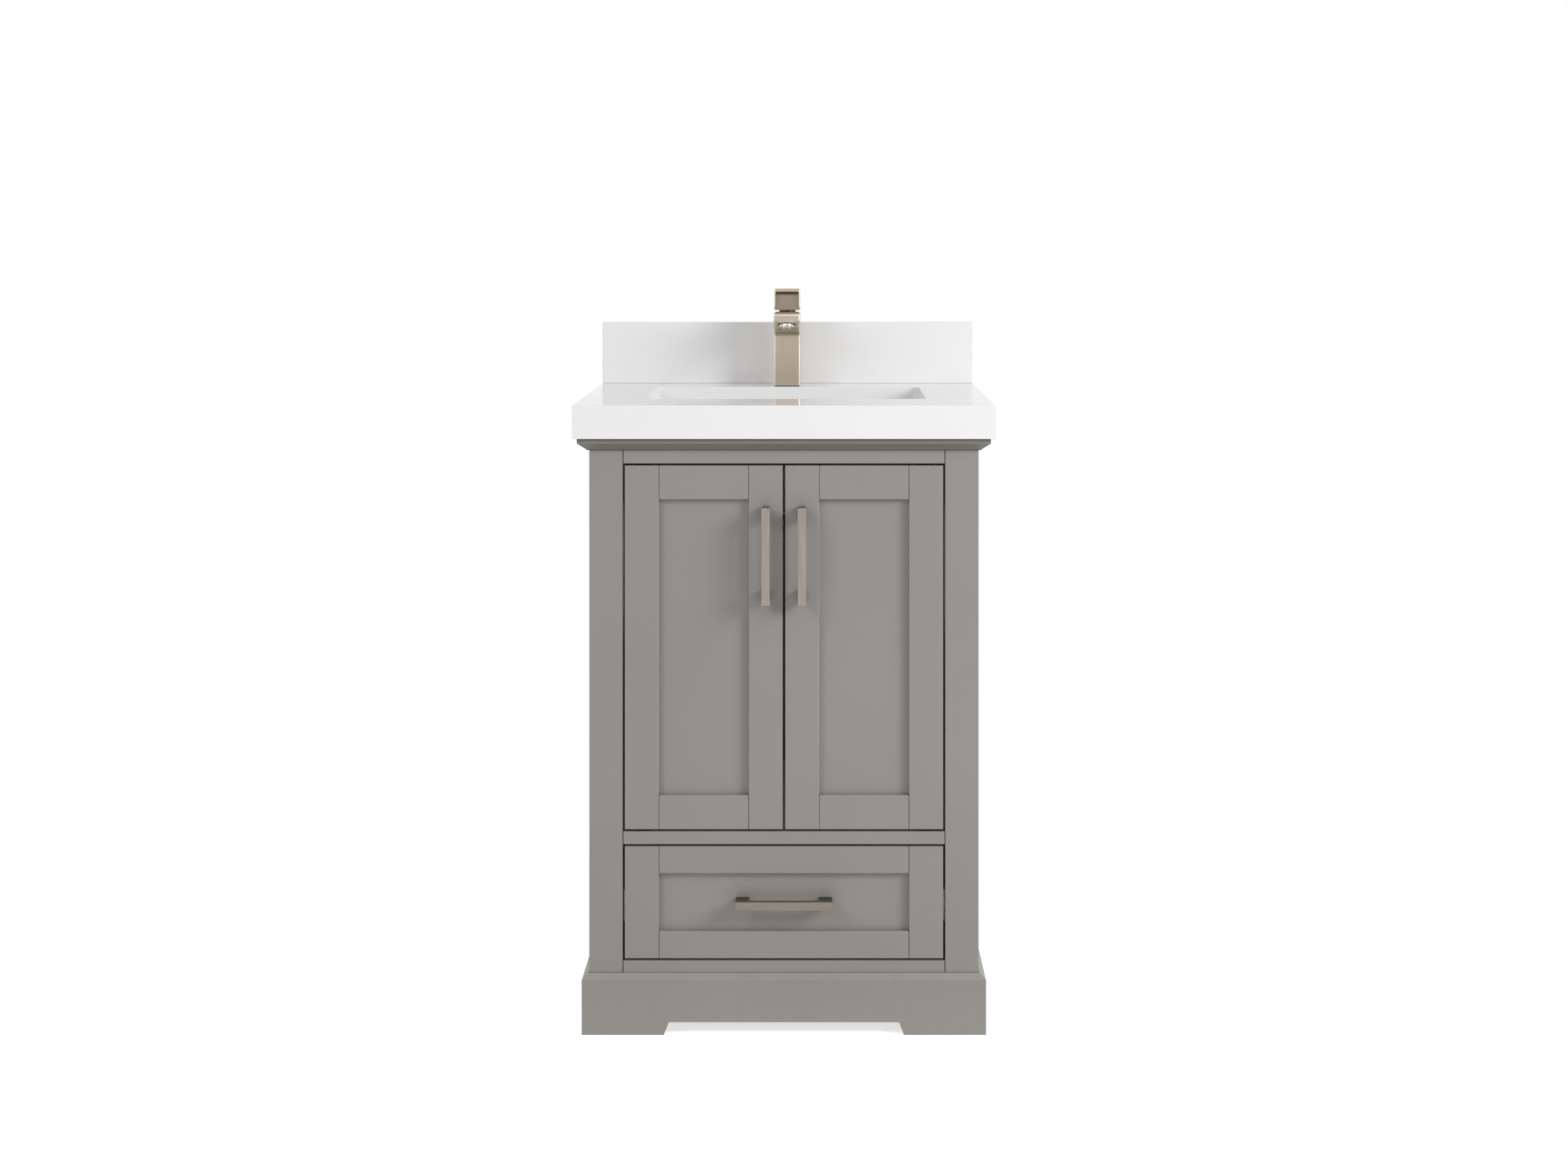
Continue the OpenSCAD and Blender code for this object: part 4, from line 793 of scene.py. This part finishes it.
# A mirror finish, with faint rubbed clouds and hairline marks.
mirror_nickel = clouded_finish(
    "polished_nickel", (55.0, 4.0, 0.35, 0.65), (nickel_bright, nickel_shade), (900.0, 2.0), 0.002 * MM,
    (45.0, 0.07, 0.15), Metallic=1.0,
)
body_low, body_high = corners_of("drain_body")
drain_tube = lathed(np.concatenate([
    threaded(drain_r, body_low[2], floor_z - 1 * MM),
    plain_profile(
        [drain_r, floor_z], [drain_flange_r - 0.4 * MM, floor_z], [drain_flange_r, floor_z + 0.5 * MM],
        [drain_flange_r - 1 * MM, body_high[2] - 0.7 * MM], [drain_flange_r - 3.5 * MM, body_high[2]],
        [drain_bore_r + 2.5 * MM, body_high[2]], [drain_bore_r + 0.8 * MM, body_high[2] - 0.6 * MM],
        [drain_bore_r, body_high[2] - 2 * MM], [drain_bore_r, body_low[2]],
    ),
]), basin_y, closed=True)
spider_reach = drain_bore_r + 1 * MM
spider_bar = board(
    np.array([-spider_reach, basin_y - spider_w / 2, spider_low]),
    np.array([spider_reach, basin_y + spider_w / 2, spider_high]),
)
spider_sleeve = lathed(plain_profile(
    [stem_r, spider_low - 0.2 * MM], [spider_sleeve_r, spider_low - 0.2 * MM],
    [spider_sleeve_r, spider_high + 0.2 * MM], [stem_r, spider_high + 0.2 * MM],
), basin_y, closed=True)
drain = make_piece("drain_body_nickel", mirror_nickel, [drain_tube, spider_bar, spider_sleeve])
fit(drain, "cabinet", "polished_nickel", "drain_body")

coupling_low, coupling_high = body_low[2] - 10 * MM, body_low[2] + 12 * MM
coupling_r, pipe_r, pipe_wall = 23 * MM, 15.9 * MM, 1.2 * MM
pipe_low = corners_of("tailpiece")[0][2]
tail_pipe = make_piece("tail_pipe_nickel", mirror_nickel, [lathed(plain_profile(
    [pipe_r - pipe_wall, pipe_low], [pipe_r, pipe_low], [pipe_r, coupling_low - 1 * MM],
    [pipe_r + 1 * MM, coupling_low], [coupling_r - 1 * MM, coupling_low], [coupling_r, coupling_low + 1 * MM],
    [coupling_r, coupling_high - 1 * MM], [coupling_r - 1 * MM, coupling_high],
    [drain_r + 0.1 * MM, coupling_high], [drain_r + 0.1 * MM, body_low[2]], [pipe_r - pipe_wall, body_low[2]],
), basin_y, closed=True)])
fit(tail_pipe, "cabinet", "polished_nickel", "tailpiece")
finish_nodes(mirror_nickel, "drain_locknut")


# ---- Rubber rings ----
# Matt black rubber with a faint bloom: one ring under the bowl, round the drain, and one under
# the foot of the tap.
rubber_black, rubber_dusty = (0.018, 0.018, 0.018, 1), (0.035, 0.034, 0.033, 1)
black_rubber = clouded_finish(
    "moulded_rubber", (90.0, 3.0, 0.4, 0.8), (rubber_black, rubber_dusty), (700.0, 2.0), 0.02 * MM,
    (80.0, 0.6, 0.8),
)
finish_nodes(black_rubber, "drain_gasket", "tap_gasket")


# ---- Stopper ----
# A domed cap of polished nickel on a stem, which the drain's spider guides as it is pushed.
stopper_low, stopper_high = corners_of("drain_stopper")
cap_r, cap_t = 24 * MM, 4 * MM
dome = np.radians(np.linspace(0, 90, 9))
cap_crown = np.column_stack([
    (cap_r - 0.6 * MM) * np.cos(dome), stopper_high[2] - cap_t * 0.45 * (1 - np.sin(dome)),
    np.zeros(len(dome)),
])
stopper = make_piece("drain_stopper_nickel", mirror_nickel, [lathed(np.concatenate([
    plain_profile(
        [0, stopper_low[2]], [stem_r - 1 * MM, stopper_low[2]], [stem_r - 0.05 * MM, stopper_low[2] + 1 * MM],
        [stem_r - 0.05 * MM, stopper_high[2] - cap_t], [cap_r - 1.2 * MM, stopper_high[2] - cap_t],
        [cap_r, stopper_high[2] - cap_t * 0.75], [cap_r, stopper_high[2] - cap_t * 0.52],
    ), cap_crown,
]), basin_y)])
fit(stopper, "drain_stopper", "polished_nickel", "drain_stopper")


# ---- Tap ----
# One column with a flat spout, cast in brass and plated in champagne nickel, then brushed. Its
# shank passes through the stone, and a washer and a nut hold it from below.
champagne, champagne_deep = (0.54, 0.46, 0.36, 1), (0.465, 0.395, 0.31, 1)
# Painted highlight: a pale champagne that the tap's rounded edges and its spout's underside are lightened
# towards.
champagne_highlight = (0.96, 0.88, 0.78, 1)
stem_shaded_brown, stem_shaded_dark = (0.13, 0.10, 0.07, 1), (0.07, 0.055, 0.04, 1)
tap_edge_r, tap_corner_r, foot_corner_r = 2.0 * MM, 2.1 * MM, 1.0 * MM
tap_foot_z = slab_high[2] + 1 * MM
spout_reach, spout_t = 122 * MM, 11 * MM
nose_l, nose_drop, throat_drop = 38 * MM, 11.4 * MM, 22.4 * MM
throat_r, nose_r = 6 * MM, 60 * MM
belt_upright = (900, 900, 22)
edge_highlight_share, shade_share, glance_from, glance_to = 0.8, 0.25, 0.88, 0.96
shank_r, inlet_r, inlet_x, inlet_l = 16 * MM, 5 * MM, 7.5 * MM, 15 * MM

brushed_lines, brushed_in, brushed_out = start_group("brushed_lines", {"Vector": "Vector"}, {"Line": "Float"})
long_lines = noise(brushed_lines, brushed_in["Vector"], 1.0, 2.0)
short_lines = noise(brushed_lines, brushed_in["Vector"], 2.6, 2.0)
lines = calculate(
    brushed_lines, "MULTIPLY_ADD", short_lines, 0.4, calculate(brushed_lines, "MULTIPLY", long_lines, 0.6)
)
fill_sockets(brushed_lines, brushed_out, {"Line": stretched(brushed_lines, lines, 0.35, 0.65)})


def brushed_metal(name, stretch, bright, deep, smooth, dull, highlight=None):
    """Plated metal drawn over an abrasive belt: fine lines along the axis that is stretched least, a painted
    highlight on rounded edges, painted shade where marked, and less glossy at a glancing angle."""
    material, tree, place = start_material(name)
    lengthwise = add_node(tree, "ShaderNodeMapping", Vector=place, Scale=stretch).outputs["Vector"]
    line = add_node(tree, "ShaderNodeGroup", node_tree=brushed_lines, Vector=lengthwise).outputs["Line"]
    tone = add_node(
        tree, "ShaderNodeGroup", node_tree=arris_wear_and_shade, Vector=place,
        Color=mix_colours(tree, line, deep, bright), Worn_Color=highlight or bright, Amount=edge_highlight_share,
        Grime_Color=[part * shade_share for part in deep[:3]] + [1],
    ).outputs["Color"]
    facing = add_node(tree, "ShaderNodeLayerWeight", Blend=0.5).outputs["Facing"]
    glance = stretched(tree, facing, glance_from, glance_to)
    finish_material(
        tree, line, 0.003 * MM, Base_Color=tone, Roughness=gloss(tree, lengthwise, 1.0, smooth, dull),
        Metallic=calculate(tree, "SUBTRACT", 1.0, glance), Specular_IOR_Level=0.0,
    )
    return material


champagne_nickel = brushed_metal(
    "champagne_nickel", belt_upright, champagne, champagne_deep, 0.28, 0.4, champagne_highlight,
)
tap_half = tap_high[0]
spout_top, spout_under = tap_high[2], tap_high[2] - spout_t


def from_side(shell):
    """Stands a shell drawn as distance forward, height and distance across on the tap's centre line."""
    return laid(shell, lambda forward, height, across: (across, tap_y - forward, height))


tap_outline = softened(
    [
        [-column_half, tap_foot_z], [column_half, tap_foot_z], [column_half, spout_under - throat_drop],
        [spout_reach - nose_l, spout_under - nose_drop], [spout_reach, spout_under],
        [spout_reach, spout_top], [-column_half, spout_top],
    ],
    [foot_corner_r, foot_corner_r, throat_r, nose_r, tap_corner_r, tap_corner_r, tap_corner_r], steps=8,
)
# Painted reflection: the spout's underside, from the throat to the tip, is lightened towards the highlight
# colour.
throat_to_tip = slice(26, 38)
tap_outline[2][throat_to_tip] = 1
shank_top, inlet_top = tap_foot_z + 1 * MM, tap_low[2] + inlet_l
shank = lathed(np.concatenate([
    threaded(shank_r, tap_low[2], slab_z - 1 * MM), plain_profile([shank_r, shank_top], [0, shank_top]),
]), tap_y)
inlet_profile = plain_profile([inlet_r, tap_low[2]], [inlet_r, inlet_top], [0, inlet_top])
inlets = [lathed(inlet_profile, tap_y, steps=32, centre_x=side * inlet_x) for side in (-1, 1)]
tap = make_piece(
    "tap_body_nickel", champagne_nickel,
    [from_side(prism(tap_outline, -tap_half, tap_half, tap_edge_r)), shank, *inlets],
    fill_levels=(tap_low[2],),
)
fit(tap, "cabinet", "brushed_nickel", "tap_body")

aerator_r, aerator_h, aerator_in = 12 * MM, 5.5 * MM, 8 * MM
shade_ring_r, shade_ring_t = 14 * MM, 0.3 * MM


def on_the_nose(shell):
    """Stands a shell drawn upright about the origin square on the nose's sloping underside: turned by
    the slope, y goes to y cos + z sin and z to z cos - y sin."""
    slope, along = math.atan2(nose_drop, nose_l), aerator_in + aerator_r
    cosine, sine = math.cos(slope), math.sin(slope)
    seat_y, seat_z = tap_y - spout_reach + along * cosine, spout_under - along * sine
    return laid(shell, lambda x, y, z: (
        x, seat_y + (y * cosine + z * sine), seat_z + (z * cosine - y * sine)
    ))


aerator = make_piece("aerator_nickel", mirror_nickel, [on_the_nose(lathed(plain_profile(
    [0, 3 * MM - aerator_h], [aerator_r - 2.2 * MM, 3 * MM - aerator_h],
    [aerator_r - 2 * MM, 0.4 * MM - aerator_h], [aerator_r - 1.4 * MM, -aerator_h],
    [aerator_r - 0.6 * MM, -aerator_h], [aerator_r, 0.6 * MM - aerator_h], [aerator_r, 0], [0, 0],
), 0.0))])
fit(aerator, "cabinet", "polished_nickel", "aerator")
# Painted shade: a thin black disc on the nose round the aerator stands for the shade where it seats.
shade_ring = make_piece("aerator_shade_ring", black_rubber, [on_the_nose(lathed(plain_profile(
    [0, -shade_ring_t], [shade_ring_r - shade_ring_t, -shade_ring_t], [shade_ring_r, 0], [0, 0],
), 0.0))])
fit(shade_ring, "cabinet", "black_rubber")
finish_nodes(zinc, "tap_locknut")
# Painted shade: the stem under the handle takes a dark brown for the shade it stands in.
finish_nodes(brushed_metal("shaded_stem_metal", belt_upright, stem_shaded_brown, stem_shaded_dark, 0.3, 0.45), "tap_stem")


# ---- Tap handle ----
# A hollow nickel block that swings with the stem under it and tips on its pin. Two thin cheeks
# and the top hang over a finger hollow at the front, and the heel is round about the pin.
handle_low, handle_high = corners_of("tap_handle")
handle_front, toe_front, heel_r = tap_y - handle_low[1], 28 * MM, 10 * MM
cheek_t, handle_top_t, toe_h = 2.5 * MM, 4 * MM, 6 * MM
finger_top, finger_foot = handle_front - 11 * MM, handle_front - 8.4 * MM
cavity_half, cavity_front, knuckle_r = 8.4 * MM, 4 * MM, 7.1 * MM
handle_foot, handle_top = handle_low[2], handle_high[2]
hollow_r, hollow_shade = 6 * MM, 0.55
pivot_at = np.array([heel_r - column_half, handle_foot + heel_r])
handle_radii = np.array([heel_r / MM, 0.5, 0.8, 0.8, 1.4, 1.4]) * MM
cheek_outline = softened(
    [
        [-column_half, handle_foot], [toe_front - 4 * MM, handle_foot], [toe_front, handle_foot + toe_h],
        [handle_front, handle_top - handle_top_t], [handle_front, handle_top], [-column_half, handle_top],
    ], handle_radii, steps=6,
)
hollow_outline = softened(
    [
        [-column_half, handle_foot], [finger_foot, handle_foot], [finger_top, handle_top - handle_top_t],
        [handle_front, handle_top - handle_top_t], [handle_front, handle_top], [-column_half, handle_top],
    ], [*handle_radii[:2], hollow_r, *handle_radii[3:]], steps=6, wear_and_shade=0,
)
foot_ends, lip_begins = 13, 21
hollow_outline[2][foot_ends:lip_begins + 1] = [-hollow_shade, *-np.linspace(hollow_shade, 1, 7), -1]


def handle_block():
    """The cheeks' outline at both ends and the hollow's between them: a prism whose section steps back
    at each cheek's inner face. Its flat foot is left open, to be filled round the cavity's mouth."""
    points, _, arris = prism(cheek_outline, -tap_half, tap_half, 1.4 * MM)
    size = len(cheek_outline[0])
    half = len(points) // 2
    inner = tap_half - cheek_t
    outlines = cheek_outline, hollow_outline, hollow_outline, cheek_outline
    middle = np.concatenate([
        np.column_stack([flat[0], np.full(size, place)])
        for flat, place in zip(outlines, (-inner, -inner, inner, inner))
    ])
    block = np.concatenate([points[:half], middle, points[half:]])
    shade = np.concatenate([np.zeros(size), hollow_outline[2], hollow_outline[2], np.zeros(size)])
    marks = np.concatenate([arris[:half], shade, arris[half:]])
    count = len(block) // size
    quads = ring_quads(count, size)
    raised = (np.abs(block[quads][:, :, 1] - handle_foot) > merge_within).any(1)
    return block, [quads[raised], *end_caps(count, size)], marks


def pin_cavity():
    """Half a circle about the pin, then forward and down to the foot, between two flat walls."""
    turn = np.radians(np.linspace(270, 90, 13))
    arc = pivot_at + knuckle_r * np.column_stack([np.cos(turn), np.sin(turn)])
    curve = np.concatenate([
        [[pivot_at[0], handle_foot]], arc, [[cavity_front, arc[-1, 1]], [cavity_front, handle_foot]],
    ])
    size = len(curve)
    both = np.concatenate([
        np.column_stack([curve, np.full(size, end)]) for end in (-cavity_half, cavity_half)
    ])
    return both, [ring_quads(2, size)[:-1], *end_caps(2, size)], np.zeros(2 * size)


handle = make_piece(
    "tap_handle_nickel", champagne_nickel, [from_side(handle_block()), from_side(pin_cavity())],
    fill_levels=(handle_foot,),
)
fit(handle, "tap_handle", "brushed_nickel", "tap_handle")


# ---- Doors and drawer front ----
# Framed fronts in painted hardwood: the rails meet the stiles in tongue and groove, so a fine
# line shows at each joint, and a flat panel floats in the groove all round. The joints and the
# edges beside the gaps are darkened with painted shade.
groove_d, panel_held, groove_in, groove_w = 10 * MM, 9.5 * MM, 9 * MM, 8 * MM
groove_r = 0.1 * MM


def grooved_section(edge_u, groove_u, front_y, back_y):
    """A member's section from its plain edge to its grooved edge."""
    turn = math.copysign(groove_d, edge_u - groove_u)
    cheek_front, cheek_back = front_y + groove_in, front_y + groove_in + groove_w
    radii = [arris_r] * 2 + [groove_r] * 4 + [arris_r] * 2
    return softened(
        [
            [edge_u, front_y], [groove_u, front_y], [groove_u, cheek_front], [groove_u + turn, cheek_front],
            [groove_u + turn, cheek_back], [groove_u, cheek_back], [groove_u, back_y], [edge_u, back_y],
        ],
        radii, wear_and_shade=[joint_and_gap_shade, 1, 0, 0, 0, 0, 1, 1],
    )


def framed_front(stem, body):
    """Two stiles, two rails between them and a panel, from the boxes of the plain pieces."""
    low, high = corners_of(f"{stem}_stiles")
    panel_low, panel_high = corners_of(f"{stem}_panel")
    x_in, x_out = panel_low[0] + panel_held, panel_high[0] - panel_held
    z_in, z_out = panel_low[2] + panel_held, panel_high[2] - panel_held
    foot, head = low[2] + let_in, high[2] - let_in

    def pair(edges, ends, axes):
        """Two members with these plain and grooved edges, between these ends, laid along the axes."""
        sections = [grooved_section(plain, grooved, low[1], high[1]) for plain, grooved in edges]
        return [turned(prism(section, *ends, arris_r, wear_and_shade=joint_and_gap_shade), axes) for section in sections]

    stiles = pair(((low[0], x_in), (high[0], x_out)), (foot, head), (0, 1, 2))
    rails = pair(((foot, z_in), (head, z_out)), (x_in + joint_gap, x_out - joint_gap), (2, 1, 0))
    for part, shells in (("stiles", stiles), ("rails", rails), ("panel", [board(panel_low, panel_high)])):
        fit(make_piece(f"painted_{stem}_{part}", paint, shells), body, "grey_paint", f"{stem}_{part}")


for stem, body in (("left_door", "left_door"), ("right_door", "right_door"), ("drawer_front", "drawer")):
    framed_front(stem, body)


# ---- Pulls ----
# Square bars of brushed nickel on two square posts, each held by a screw from behind the front.
pull_bright, pull_deep = (0.34, 0.30, 0.265, 1), (0.27, 0.236, 0.205, 1)
# Painted shade: the drawer's level pull takes a darker copy of the nickel on the doors' upright pulls.
shaded_level_bright, shaded_level_deep = (0.225, 0.197, 0.17, 1), (0.18, 0.157, 0.135, 1)
bar_depth, post_half, post_l, post_in = 10.2 * MM, 5.4 * MM, 20 * MM, 1 * MM
pull_edge, post_edge, post_shade = 0.5 * MM, 0.4 * MM, -0.75
screw_head_r, screw_head_t = 4 * MM, 2.4 * MM
pull_metal = {
    2: brushed_metal("pull_nickel_upright", (900, 900, 14), pull_bright, pull_deep, 0.28, 0.4),
    0: brushed_metal("pull_nickel_level_shaded", (14, 900, 900), shaded_level_bright, shaded_level_deep, 0.28, 0.4),
}


def bar_pull(node, along):
    """The bar and its two posts, and the middles of the posts, where the screws are."""
    low, high = corners_of(node)
    bar_back = high.copy()
    bar_back[1] = low[1] + bar_depth
    middle = (low + high) / 2
    shells, feet = [board(low, bar_back, pull_edge)], []
    for end in (low[along] + post_l / 2, high[along] - post_l / 2):
        foot = middle.copy()
        foot[along] = end
        post_low, post_high = foot - post_half, foot + post_half
        post_low[along], post_high[along] = end - post_l / 2 + pull_edge, end + post_l / 2 - pull_edge
        post_low[1], post_high[1] = bar_back[1] - post_in, high[1]
        points, faces, arris = board(post_low, post_high, post_edge)
        shells.append((points, faces, np.full(len(arris), post_shade)))
        feet.append(foot)
    return shells, feet


def screw_head(foot, seat_y):
    """A pan head with a dished drive on a face that looks towards the wall."""
    shell = lathed(plain_profile(
        [0, screw_head_t * 0.35], [screw_head_r * 0.3, screw_head_t * 0.45],
        [screw_head_r * 0.4, screw_head_t], [screw_head_r * 0.7, screw_head_t * 0.92],
        [screw_head_r * 0.95, screw_head_t * 0.5], [screw_head_r, 0], [0, 0],
    ), 0.0, steps=32)
    return laid(shell, lambda across, up, out: (foot[0] + across, seat_y + out, foot[2] + up))


box_front_back_y = corners_of("drawer_box_front")[1][1]
door_back_y = corners_of("left_door_stiles")[1][1]
for stem, body, along, seat_y in (
    ("left_door", "left_door", 2, door_back_y), ("right_door", "right_door", 2, door_back_y),
    ("drawer", "drawer", 0, box_front_back_y),
):
    shells, feet = bar_pull(f"{stem}_pull", along)
    fit(make_piece(f"{stem}_pull_nickel", pull_metal[along], shells), body, "pull_nickel", f"{stem}_pull")
    heads = [screw_head(foot, seat_y) for foot in feet]
    fit(make_piece(f"{stem}_pull_screws", zinc, heads), body, "zinc_steel")


# ---- Hinges, strikes and catches ----
# Black-plated steel pivot plates let into the doors' ends and the rails, a thin strike plate behind
# each door, and a moulded magnetic catch that hangs from the top rail.
catch_tone, catch_shade = (0.42, 0.36, 0.28, 1), (0.36, 0.305, 0.235, 1)
black_zinc = zinc_plate("black_zinc", rubber_dusty, rubber_black)
finish_nodes(black_zinc, "pivot_brackets")
for side in ("left", "right"):
    finish_nodes(black_zinc, f"{side}_door_pivots")
    finish_nodes(zinc, f"{side}_door_strike")
# Tan moulded plastic with the fine spark texture of its mould.
catch_plastic = clouded_finish(
    "catch_moulding", (120.0, 2.0, 0.3, 0.7), (catch_tone, catch_shade), (2500.0, 2.0), 0.01 * MM,
    (90.0, 0.42, 0.56),
)
finish_nodes(catch_plastic, "door_catches")


# ---- Drawer box and slides ----
# Solid birch, dovetailed at all four corners, with a plywood bottom in a groove. It runs on
# three-member steel slides, screwed to cleats inside the carcass and to the box's sides.
birch_end = lacquered_birch("solid_birch_end", (4, 90, 40))
finish_nodes(lacquered_birch("solid_birch_side", (90, 4, 40)), "drawer_sides")
finish_nodes(birch_end, "drawer_box_front", "drawer_box_back")
finish_nodes(ply_across, "drawer_bottom")
finish_nodes(zinc, "slide_outer_members", "slide_middle_members", "slide_inner_members")
